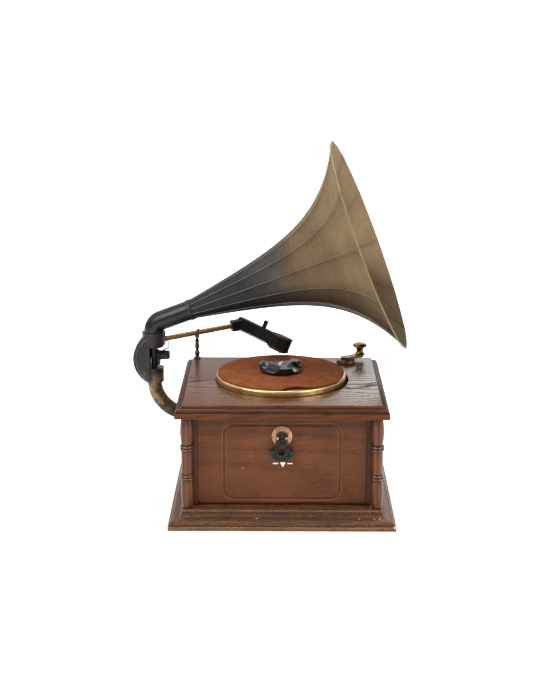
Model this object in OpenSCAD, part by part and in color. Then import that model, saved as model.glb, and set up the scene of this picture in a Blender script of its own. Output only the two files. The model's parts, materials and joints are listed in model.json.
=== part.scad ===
// Small horn record player for seven-inch singles: a wooden cabinet with turned corner columns,
// a belt-driven platter, a side-mounted tonearm and a panelled horn on an elbow pipe.
// Millimetres, +Z up. Origin at the centre of the underside; the door side faces -Y.

/* [Plinth and top plate] */
// Width of the plinth at the floor
plinth_w = 187; // [170:1:210]
// Depth of the plinth at the floor
plinth_d = 171.6; // [160:0.2:190]
// Height of the square lip at the bottom of the plinth
plinth_lip_h = 3.6; // [2.5:0.1:6]
// Set-back of the plinth moulding behind the lip
plinth_quirk = 1.2; // [0.4:0.1:2]
// Height of the plinth moulding
plinth_ogee_h = 8.8; // [6:0.1:12]
// Depth of the plinth moulding
plinth_ogee_run = 10; // [7:0.1:12]
// Height of the square step above the plinth moulding
plinth_step_h = 1.8; // [1:0.1:4]
// Width of the solid rim of the plinth inside the walls
plinth_shelf = 4; // [3:0.5:8]
// Width of the rabbet that takes the bottom panel
rabbet_w = 8; // [6:0.5:9]
// Thickness of the bottom panel
bottom_t = 5; // [3:0.5:8]
// Distance of the top plate's edge inside the plinth's edge
plate_inset = 6.5; // [4:0.1:8]
// Height of the square lip of the top plate
plate_lip_h = 4.5; // [3:0.1:6]
// Set-back of the top plate's moulding behind its lip
plate_quirk = 0.6; // [0.4:0.1:1.5]
// Height of the top plate's moulding
plate_ogee_h = 5.8; // [4:0.1:8]
// Depth of the top plate's moulding
plate_ogee_run = 5.6; // [4:0.1:8]

/* [Walls and columns] */
// Height of the walls between plinth and top plate
wall_h = 79.3; // [70:0.1:95]
// Distance of the door and the rear panel inside the plinth's step
wall_inset = 10.3; // [9:0.1:12]
// Distance of the side walls inside the plinth's step
side_inset = 8.5; // [8:0.1:12]
// Thickness of the side walls
wall_t = 7.8; // [6:0.1:9]
// Thickness of the rear panel
rear_t = 4; // [3:0.5:5]
// Distance of the column axes inside the step, sideways
column_inset = 4.4; // [4:0.1:5]
// Distance of the column axes inside the step, front to back
column_setback = 5.6; // [4.5:0.1:6]
// Radius of the columns at foot and top
column_foot_r = 4; // [3.2:0.1:4.4]
// Radius of the columns' swellings
column_bulge_r = 5.4; // [4.8:0.1:5.7]
// Radius of the columns' straight middle
column_mid_r = 4.7; // [4.2:0.1:5]
// Length of the columns' straight middle
column_mid_h = 25; // [18:0.5:32]
// Radius of the round beads on the columns
bead_r = 0.9; // [0.6:0.1:1.2]

/* [Door] */
// Thickness of the door
door_t = 6; // [5:0.5:7]
// Distance of the door's ends inside the wall faces
door_margin = 4.5; // [4.2:0.1:6]
// Clear gap above and below the door
door_gap = 0.3; // [0.2:0.1:1]
// Width of the routed frame on the door
groove_w = 97.6; // [80:0.2:120]
// Height of the routed frame on the door
groove_h = 66.6; // [50:0.2:70]
// Width of the routed groove
groove_line = 2.4; // [1.5:0.1:4]
// Depth of the routed groove
groove_depth = 1.2; // [0.6:0.1:2]
// Corner radius of the routed frame
groove_r = 9.4; // [5:0.2:15]
// Radius of the hinge pins of the door
hinge_pin_r = 1.2; // [0.8:0.1:1.6]
// Length of each hinge pin that stands out of the door
hinge_pin_out = 2.4; // [2.2:0.1:2.5]
// Length of the brass bushes that the hinge pins turn in
bush_len = 3; // [2.5:0.1:3.4]
// Height of the pull's disc above the door's hinge axis
pull_h = 57.3; // [45:0.1:60]
// Radius of the pull's disc
pull_disc_r = 8.4; // [7:0.1:11]
// Thickness of the pull's disc
pull_disc_t = 1.4; // [0.8:0.1:2.5]
// Thickness of the key-shaped pull
pull_t = 2.4; // [1.8:0.1:3.5]
// Radius of the pull's finger ring
pull_ring_r = 6.3; // [5:0.1:7.5]
// Distance of the finger ring below the pull's pin
pull_ring_drop = 12.6; // [12:0.1:15]
// Radius of the pull's hinge pin
pull_pin_r = 0.6; // [0.4:0.1:0.8]

/* [Platter] */
// Platter axis, sideways
platter_x = -1.1; // [-3:0.1:3]
// Platter axis, front to back
platter_y = 3.6; // [0:0.1:6]
// Outer radius of the platter
platter_r = 55.8; // [50:0.1:58]
// Height of the platter's top above the top plate
platter_rise = 5.3; // [4:0.1:8]
// Wall of the platter
platter_wall = 1.6; // [1.2:0.1:2.5]
// Depth of the platter's skirt below the top plate
skirt_drop = 6; // [4:0.5:7]
// Gap around the platter at its near side
platter_gap = 0.6; // [0.4:0.1:2]
// Distance of the opening's centre right of the platter axis
opening_shift = 0.9; // [0:0.1:1.5]
// Radius of the mat
mat_r = 54.2; // [45:0.1:55]
// Thickness of the mat
mat_t = 2; // [1:0.1:3]
// Radius of the spindle
spindle_r = 3.55; // [3:0.05:3.6]
// Height of the spindle above the mat
spindle_rise = 8; // [5:0.5:12]
// Radius of the centre adapter
adapter_r = 19.1; // [18.5:0.05:19.2]
// Height of the centre adapter
adapter_h = 6.5; // [6:0.1:7.5]
// Turn of the centre adapter's arms
adapter_turn = 12; // [0:1:120]
// Radius of the three scoops in the centre adapter
scoop_r = 8.5; // [8:0.1:9]
// Length of the scoops between the centres of their ends
scoop_w = 10; // [8:0.1:11]
// Distance of the scoops from the adapter's axis
scoop_out = 15; // [14.5:0.1:16]
// Thickness left under the scoops
scoop_floor = 1.5; // [1.2:0.1:3]

/* [Tonearm] */
// Distance of the swing axis outside the top plate's left edge
pivot_out = 27.7; // [26:0.1:32]
// Distance of the swing axis inside the top plate's back edge
pivot_setback = 25.3; // [24:0.1:33]
// Height of the lift pin above the top plate
pivot_rise = 20.4; // [18:0.1:24]
// Direction of the arm tube seen from above
arm_angle = 20.5; // [15:0.1:25]
// Rise of the arm tube
arm_slope = 5.6; // [2:0.1:7]
// Radius of the arm tube
arm_tube_r = 2.35; // [2:0.05:2.6]
// Length of the arm tube from the lift pin
arm_len = 77.5; // [65:0.5:80]
// Turn of the head against the arm tube
head_turn = 57.6; // [40:0.1:60]
// Fall of the head
head_fall = 13.4; // [8:0.1:16]
// Roll of the head about its length
head_roll = 20; // [0:1:25]
// Length of the head from its bend to the soundbox
head_len = 44.9; // [40:0.1:50]
// Width of the head
head_w = 9; // [7:0.1:11]
// Height of the head
head_h = 11.8; // [8:0.1:12]
// Radius of the soundbox
soundbox_r = 9.8; // [8:0.1:10]
// Thickness of the soundbox
soundbox_t = 13; // [10:0.1:13.4]
// Width of the rims on the soundbox
soundbox_rim = 1.6; // [1:0.1:2.5]
// Thickness of the rims on the soundbox
rim_t = 0.4; // [0.3:0.05:0.8]
// Distance of the arm rest post inside the top plate's left edge
post_inset = 9.9; // [9:0.1:12]
// Radius of the arm rest post's foot
post_foot_r = 3.1; // [2.5:0.1:3.5]

/* [Support and horn] */
// Radius of the support tube
tube_r = 6.5; // [5:0.1:7]
// Wall of the support tube
tube_wall = 1.3; // [0.8:0.1:2]
// Bend radius of the support tube
tube_bend_r = 30; // [24:0.5:34]
// Height of the support tube's axis at the wall
tube_wall_z = 56.8; // [45:0.1:60]
// Radius of the wall flange
flange_r = 10; // [9.5:0.1:10.2]
// Thickness of the wall flange
flange_t = 2.5; // [1.5:0.1:3]
// Radius of the bracket's collar
collar_r = 10.3; // [9.8:0.1:11]
// Wall of the bracket's collar
collar_wall = 1.7; // [1.2:0.1:2.2]
// Height of the bracket's collar
collar_h = 9; // [8:0.1:10]
// Radius of the bracket's round back
yoke_r = 25; // [23:0.5:28]
// Thickness of the bracket front to back
yoke_t = 17; // [15:0.5:20]
// Thickness of each cheek of the bracket
cheek_t = 3.3; // [2:0.1:3.5]
// Radius of the elbow pipe
pipe_r = 8.8; // [8.2:0.1:9.2]
// Wall of the elbow pipe
pipe_wall = 1.2; // [0.8:0.1:1.6]
// Bend radius of the elbow pipe
pipe_bend_r = 11; // [10:0.1:11.3]
// Length of the straight pipe after the bend
pipe_len = 30.5; // [20:0.5:40]
// Rise of the horn's axis
horn_rise = 21.3; // [15:0.1:30]
// Turn of the horn's axis towards the front
horn_turn = 5.3; // [0:0.1:12]
// Number of panels in the horn
panels = 12; // [8:1:16]
// Length of the horn along its axis
horn_len = 166; // [140:1:180]
// Radius of the horn's neck at the panel corners
neck_r = 8.6; // [8.2:0.1:9.5]
// Radius of the horn's mouth at the panel corners
mouth_r = 95; // [80:1:100]
// Cone slope of the horn's neck
neck_slope = 0.165; // [0.1:0.005:0.2]
// Length over which the flare grows by e
flare_len = 31.5; // [25:0.5:40]
// Thickness of the horn's sheet
sheet_t = 1; // [0.6:0.1:1.5]
// Scallop of each panel at the rim
scallop = 2.5; // [0:0.1:4]
// Turn of the panel seams round the horn's axis
seam_turn = 20; // [0:1:30]

/* [Lever] */
// Distance of the lever's axis inside the top plate's right edge
lever_inset = 29.9; // [29:0.1:33]
// Distance of the lever's axis inside the top plate's back edge
lever_setback = 23.8; // [23.7:0.1:26]
// Radius of the lever's disc
lever_disc_r = 8.6; // [7:0.1:10]
// Thickness of the lever's disc
lever_disc_t = 3; // [2:0.1:4]
// Length of the lever to its knob
lever_len = 15.5; // [13:0.1:18]
// Direction of the lever
lever_dir = 34; // [0:1:60]
// Radius of the lever's knob
knob_r = 5.9; // [4:0.1:7]
// Height of the lever's knob
knob_h = 10.6; // [8:0.1:14]

/* [Insides] */
// Thickness of the steel motor plate
chassis_t = 1.5; // [1:0.1:2]
// Clearance between the motor plate and the volume control
pot_clear = 0.8; // [0.5:0.1:3]
// Radius of the volume control
pot_r = 4.7; // [4:0.1:5]
// Radius of the platter's drive ring
drive_ring_r = 42; // [36:0.5:44]
// Radius of the motor pulley
pulley_r = 3; // [2:0.1:4]
// Distance of the motor from the platter axis
motor_reach = 47.5; // [46:0.1:48.5]
// Direction of the motor from the platter axis
motor_dir = -35; // [-60:1:-20]
// Radius of the motor
motor_r = 12.5; // [10:0.5:14]
// Height of the motor
motor_h = 26; // [18:0.5:30]
// Thickness of the drive belt
belt_t = 0.8; // [0.5:0.1:1.2]
// Width of the drive belt
belt_w = 4; // [3:0.1:5]
// Number of battery cells
cells = 4; // [2:1:4]
// Radius of a battery cell
cell_r = 7.2; // [7:0.1:9]
// Length of a battery cell
cell_len = 50.5; // [44:0.5:52]
// Wall of the battery tray
tray_wall = 1.8; // [1.2:0.1:2.5]
// Radius of the horn driver
driver_r = 14; // [10:0.5:15]
// Thickness of the horn driver
driver_t = 15; // [10:0.5:18]
// Radius of the wood screws
screw_r = 1.2; // [0.9:0.1:1.5]

/* [Fits] */
// Radial clearance of turning fits
run_fit = 0.05; // [0.02:0.01:0.1]
// Radial clearance of pressed and glued fits
press_gap = 0.02; // [0.01:0.01:0.05]
// Clear gap between parts that move past each other
move_gap = 0.3; // [0.2:0.05:0.6]

/* [Hidden] */
$fn = 64;

// Heights of the cabinet
z_step = plinth_lip_h + plinth_ogee_h;
z_base = z_step + plinth_step_h;
z_plate = z_base + wall_h;
z_top = z_plate + plate_lip_h + plate_ogee_h;

// Half sizes of the cabinet seen from above
step_x = plinth_w / 2 - plinth_quirk - plinth_ogee_run;
step_y = plinth_d / 2 - plinth_quirk - plinth_ogee_run;
wall_x = step_x - side_inset;
wall_y = step_y - wall_inset;
inner_x = wall_x - wall_t;
door_back = wall_y - door_t;
rear_in = wall_y - rear_t;
window_x = inner_x - plinth_shelf;
window_y = door_back - plinth_shelf;
panel_x = window_x + rabbet_w;
panel_y = window_y + rabbet_w;
column_x = step_x - column_inset;
column_y = step_y - column_setback;
plate_w = plinth_w - 2 * plate_inset;
plate_d = plinth_d - 2 * plate_inset;
pivot_x = -plate_w / 2 - pivot_out;
pivot_y = plate_d / 2 - pivot_setback;
post_x = post_inset - plate_w / 2;
lever_x = plate_w / 2 - lever_inset;
lever_y = plate_d / 2 - lever_setback;
chassis_half_d = lever_y - pot_r - pot_clear;

// Screws
screw_head_r = screw_r * 1.9;
screw_head_t = 1.4;
screw_len = 9;
panel_screw_inset = rabbet_w / 2;

// Door hinge, pull and catch
door_half = wall_x - door_margin;
hinge_y = -(wall_y - door_t / 2);
hinge_z = z_base + door_gap + door_t / 2;
door_top = z_plate - door_gap;
bush_r = hinge_pin_r * 2;
pin_depth = 8;
groove_z = (z_base + z_plate) / 2 - 1.7;
pull_z = hinge_z + pull_h;
knuckle_r = pull_pin_r + 1;
pull_y = -wall_y - pull_disc_t - max(knuckle_r, pull_t / 2) - move_gap;
pull_hole_r = 3.6;
pull_lobe_r = 3.7;
pull_shank_w = 3.4;
knuckle_half = 2.6;
ear_t = 1.1;
strike_t = 0.8;
strike_w = 16;
strike_h = 6;
catch_w = 12;
catch_d = door_back - move_gap - chassis_half_d - 1;

// Platter stack
z_platter = z_top + platter_rise;
z_mat = z_platter + mat_t;
opening_r = platter_r + platter_gap + opening_shift;
adapter_taper = 1.6;
hub_r = 8;
bearing_r = 6;
bearing_flange_t = 2;
bearing_len = 13;
z_chassis = z_plate - chassis_t;
z_hub = z_plate + bearing_flange_t + move_gap;
z_under = z_platter - platter_wall;
belt_z = z_plate + 8.5;
belt_fit = 0.15;
ring_lift = 5;
ring_wall = 2;
chassis_screw_x = inner_x - 6;
chassis_screw_y = chassis_half_d - 5;
motor_x = platter_x + motor_reach * cos(motor_dir);
motor_y = platter_y + motor_reach * sin(motor_dir);
shaft_r = 1;
boss_r = 3;

// Tonearm pivot, from the lift pin outwards
z_lift = z_top + pivot_rise;
collar_in = collar_r - collar_wall;
z_flange = z_lift + 5.8;
flange_ring_t = 2.5;
z_pipe = z_flange + flange_ring_t;
z_collar = z_flange - collar_h;
head_gap = 0.4;
lift_pin_r = 1;
root_half_w = 3.2;
root_half_h = 2.9;
root_back = 3.5;
root_front = 8;
z_slot = z_lift - 3.9;
z_pivot_head = z_slot - 1.3;
pivot_head_r = collar_in - run_fit;
shaft_pivot_r = 2;
socket_wall = 2;
socket_h = 13;
z_jaw = z_lift - 24.2;
jaw_roof = 3;
yoke_z = z_lift - 15.2;
yoke_shift = 6.7;
mouth_edge = 3.6;
spring_hub_r = 4.4;
spring_hub_flat = 2.9;
z_spring_hub = z_jaw + 0.2;
z_spool = z_lift - 15.2;
spool_r = 7.2;
spool_t = 2.5;
z_spring_knob = z_lift - 13.1;
spring_knob_r = 4.2;
spring_knob_len = 8.7;
wire_r = 0.45;
hook_reach = 13;

// Arm rest post, under the arm where it passes
post_reach = (post_x - pivot_x) / cos(arm_angle);
post_y = pivot_y + post_reach * sin(arm_angle);
z_saddle = z_lift + post_reach * tan(arm_slope) - arm_tube_r / cos(arm_slope) - move_gap;
prong_r = 0.9;
prong_reach = arm_tube_r + 0.5 + prong_r;

// Head of the tonearm
sleeve_len = 6;
sleeve_h = head_h * 0.82;
sleeve_grip = 4;
head_round = 1.6;
rim_r = soundbox_r + press_gap + rim_t;
cartridge_t = 1.5;
cartridge_l = 13;
cartridge_w = 9;
stylus_len = 1.4;
tab_w = 4.5;
tab_t = 1;
tab_h = 7;

// Support tube and horn
tube_in = tube_r - tube_wall;
z_tube_top = z_jaw - jaw_roof;
tube_bend_z = tube_wall_z + tube_bend_r;
sound_hole_r = 4;
flange_screw_r = (tube_r + flange_r) / 2;
flange_screw_body = 0.55;
flange_screw_grip = 4;
flange_head_t = 0.8;
spigot_r = 7;
spigot_h = 2;
elbow_bend = 90 - horn_rise;
z_bend = z_pipe + 0.4;
weld = 0.05;
seam_gap = 0.12;
ferrule_len = 4;
ferrule_t = 0.6;
horn_rings = 22;
flare_gain = (mouth_r - neck_r - neck_slope * horn_len) / (exp(horn_len / flare_len) - 1);

// Lever stack
lever_spindle_r = 1.5;
lever_arm_t = 2.4;
lever_end_r = 3.6;
z_lever = z_top + move_gap;
pot_h = 9;

// Battery tray and amplifier
cell_gap = 0.4;
cell_lift = 0.1;
contact_r = cell_r * 0.38;
contact_len = 0.8;
tray_w = cells * (2 * cell_r + cell_gap) + 2 * tray_wall + cell_gap;
tray_d = cell_len + 2 * (tray_wall + 1.2);
tray_h = cell_r * 1.7;
tray_y = tray_d / 2 - window_y;
tray_gap = 8.8;
board_gap = 3.3;
board_x = 78;
board_y = 2 * window_y - tray_d - tray_gap - board_gap;
board_t = 1.6;
board_c = [10, window_y - board_gap - board_y / 2];
standoff_r = 3;
standoff_h = 6;
cap_r = board_y * 0.1;
cap_h = 3 * cap_r;
fins = 5;
fin_t = board_y * 0.05;
fin_pitch = 3 * fin_t;
fin_l = board_x * 0.2;
fin_h = 14;

// Colours of the finishes
dark_wood = [0.2, 0.11, 0.06];
door_wood = [0.24, 0.14, 0.08];
brass = [0.74, 0.56, 0.28];
bronze = [0.52, 0.4, 0.24];
copper = [0.68, 0.4, 0.27];
gunmetal = [0.2, 0.2, 0.21];
black = [0.05, 0.05, 0.055];
steel = [0.66, 0.67, 0.69];
suede = [0.68, 0.37, 0.17];
board_green = [0.12, 0.3, 0.2];

// Frames that carry several sub-parts
module at_platter() translate([platter_x, platter_y, 0]) children();
module at_motor() translate([motor_x, motor_y, 0]) children();
module at_pivot() translate([pivot_x, pivot_y, 0]) children();
module at_lever() translate([lever_x, lever_y, 0]) rotate(lever_dir) children();
module along_arm() at_pivot() translate([0, 0, z_lift]) rotate([0, -arm_slope, arm_angle]) children();
module along_head() along_arm() translate([arm_len + sleeve_len, 0, 0])
  rotate([0, arm_slope, 0]) rotate(-head_turn) rotate([0, head_fall, 0]) rotate([-head_roll, 0, 0])
    children();
module at_soundbox() along_head() translate([head_len, 0, 0]) children();
module in_horn_plane() at_pivot() rotate(-horn_turn) children();
module at_pipe_end() in_horn_plane()
  translate([pipe_bend_r * (1 - cos(elbow_bend)), 0, z_bend + pipe_bend_r * sin(elbow_bend)])
  rotate([0, elbow_bend, 0]) translate([0, 0, pipe_len]) children();
module at_corners(x, y) for (sx = [-1, 1], sy = [-1, 1]) translate([sx * x, sy * y, 0]) children();
module along_x(x) translate([x, 0, 0]) rotate([0, 90, 0]) children();

// Shapes that repeat
module block(low, high) translate(low) cube(high - low);

module ring(outer, inner, h) difference() {
  cylinder(r = outer, h = h);
  translate([0, 0, -1]) cylinder(r = inner, h = h + 2);
}

// Outline of a rectangle with round corners, by its half sizes
module round_rect(x, y, r) {
  square([2 * (x - r), 2 * y], center = true);
  square([2 * x, 2 * (y - r)], center = true);
  for (sx = [-1, 1], sy = [-1, 1]) translate([sx * (x - r), sy * (y - r)]) circle(r);
}

// Section of a moulding: square lip, rounded shoulder, hollow and square step
module moulding_section(half, lip_h, quirk, ogee_h, run, step_h) {
  r = min(ogee_h, run) / 2;
  outer = half - quirk;
  inner = outer - run;
  crown = lip_h + ogee_h;
  translate([-half, 0]) square([2 * half, lip_h]);
  translate([r - outer, 0]) square([2 * (outer - r), lip_h + r]);
  for (s = [-1, 1]) intersection() {
    translate([s * (outer - r), lip_h]) circle(r);
    translate([-half, lip_h]) square([2 * half, r]);
  }
  difference() {
    translate([-inner - r, 0]) square([2 * (inner + r), crown]);
    for (s = [-1, 1]) translate([s * (inner + r), crown]) circle(r);
  }
  translate([-inner, 0]) square([2 * inner, crown + step_h]);
}

// Board with the moulding mitred round all four sides
module moulded_board(w, d, lip_h, quirk, ogee_h, run, step_h) intersection() {
  rotate([90, 0, 0]) linear_extrude(d, center = true)
    moulding_section(w / 2, lip_h, quirk, ogee_h, run, step_h);
  rotate([90, 0, 90]) linear_extrude(w, center = true)
    moulding_section(d / 2, lip_h, quirk, ogee_h, run, step_h);
}

// Wood screw that points up from its head at z = 0, and the space it needs
module screw(len) {
  cylinder(r = screw_head_r, h = screw_head_t);
  cylinder(r = screw_r, h = len);
}
module screw_space(len) {
  translate([0, 0, -0.01]) cylinder(r = screw_head_r + press_gap, h = screw_head_t + 0.01);
  cylinder(r = screw_r + press_gap, h = len + press_gap);
}

module bottom_screw_places() at_corners(panel_x - panel_screw_inset, panel_y - panel_screw_inset) children();
module chassis_screw_places() translate([0, 0, z_chassis - screw_head_t])
  at_corners(chassis_screw_x, chassis_screw_y) children();
module flange_screw_places() translate([-wall_x - flange_t, pivot_y, tube_wall_z])
  for (a = [30, 150, 270]) rotate([a, 0, 0]) translate([0, 0, flange_screw_r]) rotate([0, 90, 0]) children();

// Cabinet
module base_plinth() color(dark_wood) difference() {
  moulded_board(plinth_w, plinth_d, plinth_lip_h, plinth_quirk, plinth_ogee_h, plinth_ogee_run,
    plinth_step_h);
  block([-window_x, -window_y, -1], [window_x, window_y, z_base + 1]);
  block([-panel_x, -panel_y, -1], [panel_x, panel_y, bottom_t]);
  bottom_screw_places() screw_space(screw_len);
}

module bottom_panel() color(dark_wood) difference() {
  block([press_gap - panel_x, press_gap - panel_y, 0], [panel_x - press_gap, panel_y - press_gap, bottom_t]);
  bottom_screw_places() screw_space(screw_len);
}

module bottom_screws() color(steel) bottom_screw_places() screw(screw_len);

// Side wall with a stile beside the door, bored for the door's hinge bush
module side_wall() difference() {
  union() {
    block([inner_x, move_gap - door_back, z_base], [wall_x, wall_y, z_plate]);
    block([door_half + move_gap, -wall_y, z_base], [wall_x, wall_y, z_plate]);
  }
  translate([door_half, hinge_y, hinge_z]) along_x(0)
    cylinder(r = bush_r + press_gap, h = move_gap + bush_len);
}

module left_wall() color(dark_wood) difference() {
  mirror([1, 0, 0]) side_wall();
  translate([-wall_x, pivot_y, tube_wall_z]) along_x(-1) cylinder(r = sound_hole_r, h = wall_t + 2);
  flange_screw_places()
    cylinder(r = flange_screw_body + press_gap, h = flange_t + flange_screw_grip + press_gap);
}

module right_wall() color(dark_wood) side_wall();

module rear_panel() color(dark_wood) block([-inner_x, rear_in, z_base], [inner_x, wall_y, z_plate]);

// Radius of a column's swelling at the share u of its length
function swell(u) = column_foot_r + (column_bulge_r - column_foot_r) * sin(180 * u);

// Turned column: a swelling at each end, two pairs of beads and a straight middle
module column() {
  swell_h = (wall_h - column_mid_h) / 2;
  steps = 14;
  low = [for (i = [0:steps]) [swell(i / steps), swell_h * i / steps]];
  high = [for (i = [0:steps]) [swell(i / steps), wall_h - swell_h * (1 - i / steps)]];
  rotate_extrude() {
    polygon(concat([[0, 0]], low, [[0, swell_h]]));
    polygon(concat([[0, wall_h - swell_h]], high, [[0, wall_h]]));
    translate([0, swell_h - 1]) square([column_mid_r, column_mid_h + 2]);
    for (end = [swell_h, wall_h - swell_h], s = [-1.1, 1.1])
      translate([column_mid_r - bead_r / 2, end + s * bead_r]) circle(bead_r, $fn = 24);
  }
}

module column_at(sx, sy) color(dark_wood) translate([sx * column_x, sy * column_y, z_base]) column();
module column_front_left() column_at(-1, -1);
module column_front_right() column_at(1, -1);
module column_rear_left() column_at(-1, 1);
module column_rear_right() column_at(1, 1);

module top_plate() color(dark_wood) difference() {
  translate([0, 0, z_plate])
    moulded_board(plate_w, plate_d, plate_lip_h, plate_quirk, plate_ogee_h, plate_ogee_run, 0);
  translate([platter_x + opening_shift, platter_y, z_plate - 1]) cylinder(r = opening_r, h = z_top, $fn = 96);
  at_lever() translate([0, 0, z_plate - 1]) cylinder(r = lever_spindle_r + run_fit, h = z_top);
  chassis_screw_places() screw_space(screw_len);
}

// Door: rounded lower edge on the hinge axis, routed frame, pin holes and a recess for the strike
module front_door() color(door_wood) difference() {
  union() {
    block([-door_half, -wall_y, hinge_z], [door_half, -door_back, door_top]);
    translate([0, hinge_y, hinge_z]) along_x(-door_half) cylinder(r = door_t / 2, h = 2 * door_half);
  }
  translate([0, -wall_y, groove_z]) rotate([90, 0, 0]) translate([0, 0, -groove_depth])
    linear_extrude(2 * groove_depth) difference() {
      round_rect(groove_w / 2, groove_h / 2, groove_r);
      round_rect(groove_w / 2 - groove_line, groove_h / 2 - groove_line, groove_r - groove_line);
    }
  for (s = [-1, 1]) translate([s * door_half, hinge_y, hinge_z]) along_x(-pin_depth)
    cylinder(r = hinge_pin_r + press_gap, h = 2 * pin_depth);
  block([-strike_w / 2 - press_gap, -door_back - strike_t, door_top - strike_h],
    [strike_w / 2 + press_gap, 1 - door_back, door_top + 1]);
}

module door_hinge_pins() color(steel) for (s = [-1, 1])
  translate([s * (door_half + (hinge_pin_out - pin_depth) / 2), hinge_y, hinge_z])
    along_x(-(pin_depth + hinge_pin_out) / 2) cylinder(r = hinge_pin_r, h = pin_depth + hinge_pin_out);

module door_hinge_bushes() color(brass) for (s = [0, 1]) mirror([s, 0, 0])
  translate([door_half + move_gap, hinge_y, hinge_z]) along_x(0)
    ring(bush_r, hinge_pin_r + run_fit, bush_len);

module door_strike() color(steel)
  block([-strike_w / 2, -door_back - strike_t, door_top - strike_h], [strike_w / 2, -door_back, door_top]);

module door_catch() color(gunmetal)
  block([-catch_w / 2, move_gap - door_back, z_plate - strike_h],
    [catch_w / 2, move_gap - door_back + catch_d, z_plate]);

// Disc behind the pull, with two ears that hold its pin
module pull_disc() color(copper) difference() {
  union() {
    translate([0, -wall_y, pull_z]) rotate([90, 0, 0]) {
      cylinder(r = pull_disc_r, h = pull_disc_t * 0.6);
      cylinder(r1 = pull_disc_r - 0.6, r2 = pull_disc_r - 1.4, h = pull_disc_t);
    }
    for (s = [-1, 1]) translate([s * (knuckle_half + move_gap + ear_t / 2), 0, 0])
      block([-ear_t / 2, pull_y - knuckle_r, pull_z - knuckle_r],
        [ear_t / 2, -wall_y - 0.5, pull_z + knuckle_r]);
  }
  translate([0, pull_y, pull_z]) along_x(-pull_disc_r)
    cylinder(r = pull_pin_r + press_gap, h = 2 * pull_disc_r);
}

module pull_pin() color(steel) translate([0, pull_y, pull_z])
  along_x(-knuckle_half - move_gap - ear_t)
    cylinder(r = pull_pin_r, h = 2 * (knuckle_half + move_gap + ear_t));

// Outline of the pull below its pin: waisted shank with side scrolls and a lobed finger ring
module pull_outline() {
  difference() {
    translate([0, -pull_ring_drop]) union() {
      circle(pull_ring_r);
      for (s = [-1, 1]) translate([s * (pull_ring_r - 0.2), -pull_lobe_r * 0.4]) circle(pull_lobe_r);
      translate([0, 0.5 - pull_ring_r]) circle(pull_lobe_r * 0.6);
    }
    translate([-0.8, 0.6 - pull_ring_drop]) circle(pull_hole_r);
  }
  shank = pull_ring_drop - pull_ring_r + 1;
  translate([-pull_shank_w / 2, -shank]) square([pull_shank_w, shank]);
  for (s = [-1, 1]) translate([s * 0.7 * pull_shank_w, -0.65 * shank]) circle(pull_shank_w / 2);
}

// Key-shaped pull: knuckle on the pin and a flat cast outline
module key_pull() color(black) translate([0, pull_y, pull_z]) difference() {
  union() {
    along_x(-knuckle_half) cylinder(r = knuckle_r, h = 2 * knuckle_half);
    rotate([90, 0, 0]) linear_extrude(pull_t, center = true) pull_outline();
  }
  along_x(-2 * knuckle_half) cylinder(r = pull_pin_r + run_fit, h = 4 * knuckle_half);
}

// Platter with a rolled rim and a skirt inside the opening
module platter() color(brass) at_platter() rotate_extrude($fn = 128) {
  roll = platter_wall;
  translate([spindle_r + press_gap, z_under]) square([platter_r - roll - spindle_r, platter_wall]);
  translate([platter_r - platter_wall, z_top - skirt_drop])
    square([platter_wall, z_under - z_top + skirt_drop]);
  translate([spindle_r + press_gap, z_hub]) square([hub_r - spindle_r, z_under - z_hub]);
  intersection() {
    translate([platter_r - roll, z_platter - roll]) circle(roll);
    translate([platter_r - roll, z_platter - roll]) square(roll);
  }
}

module drive_ring() color(black) at_platter() translate([0, 0, z_plate + ring_lift])
  ring(drive_ring_r, drive_ring_r - ring_wall, z_under - z_plate - ring_lift);

module spindle() color(steel) at_platter() rotate_extrude() {
  tip = z_mat + spindle_rise;
  translate([0, z_plate - bearing_len + 1]) square([spindle_r, tip - spindle_r - z_plate + bearing_len - 1]);
  intersection() {
    translate([0, tip - spindle_r]) circle(spindle_r);
    translate([0, tip - spindle_r]) square(spindle_r);
  }
}

// Mat: a thin disc with a spindle hole
module mat() color(suede) at_platter() translate([0, 0, z_platter]) ring(mat_r, spindle_r + move_gap, mat_t);

// Centre adapter: a thick tapered disc with three long scoops that leave three arms
module center_adapter() color(black) at_platter() translate([0, 0, z_mat]) rotate(adapter_turn) difference() {
  cylinder(r1 = adapter_r - adapter_taper, r2 = adapter_r, h = adapter_h);
  for (a = [-30, 90, 210]) rotate(a) hull() for (s = [-0.5, 0.5])
    translate([scoop_out, s * scoop_w, scoop_floor + scoop_r]) sphere(scoop_r, $fn = 48);
  translate([0, 0, -1]) cylinder(r = spindle_r + run_fit, h = adapter_h + 2);
}

module platter_bearing() color(brass) at_platter() difference() {
  union() {
    translate([0, 0, z_plate - bearing_len]) cylinder(r = bearing_r, h = bearing_len);
    translate([0, 0, z_plate]) cylinder(r = bearing_r + 3, h = bearing_flange_t);
  }
  translate([0, 0, z_plate - bearing_len + 0.7]) cylinder(r = spindle_r + run_fit, h = 2 * bearing_len);
}

module motor_plate() color(steel) difference() {
  block([-inner_x + 1, -chassis_half_d, z_chassis], [inner_x - 1, chassis_half_d, z_plate]);
  at_platter() translate([0, 0, z_chassis - 1]) cylinder(r = bearing_r + press_gap, h = 4);
  at_motor() translate([0, 0, z_chassis - 1]) cylinder(r = boss_r + press_gap, h = 4);
  chassis_screw_places() screw_space(screw_len);
}

module motor_plate_screws() color(steel) chassis_screw_places() screw(screw_len);

module motor() color(steel) at_motor() difference() {
  union() {
    translate([0, 0, z_chassis - motor_h]) cylinder(r = motor_r, h = motor_h);
    translate([0, 0, z_chassis]) cylinder(r = boss_r, h = chassis_t + 1);
  }
  translate([0, 0, z_chassis - motor_h + 3]) cylinder(r = shaft_r + run_fit, h = 2 * motor_h);
}

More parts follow.
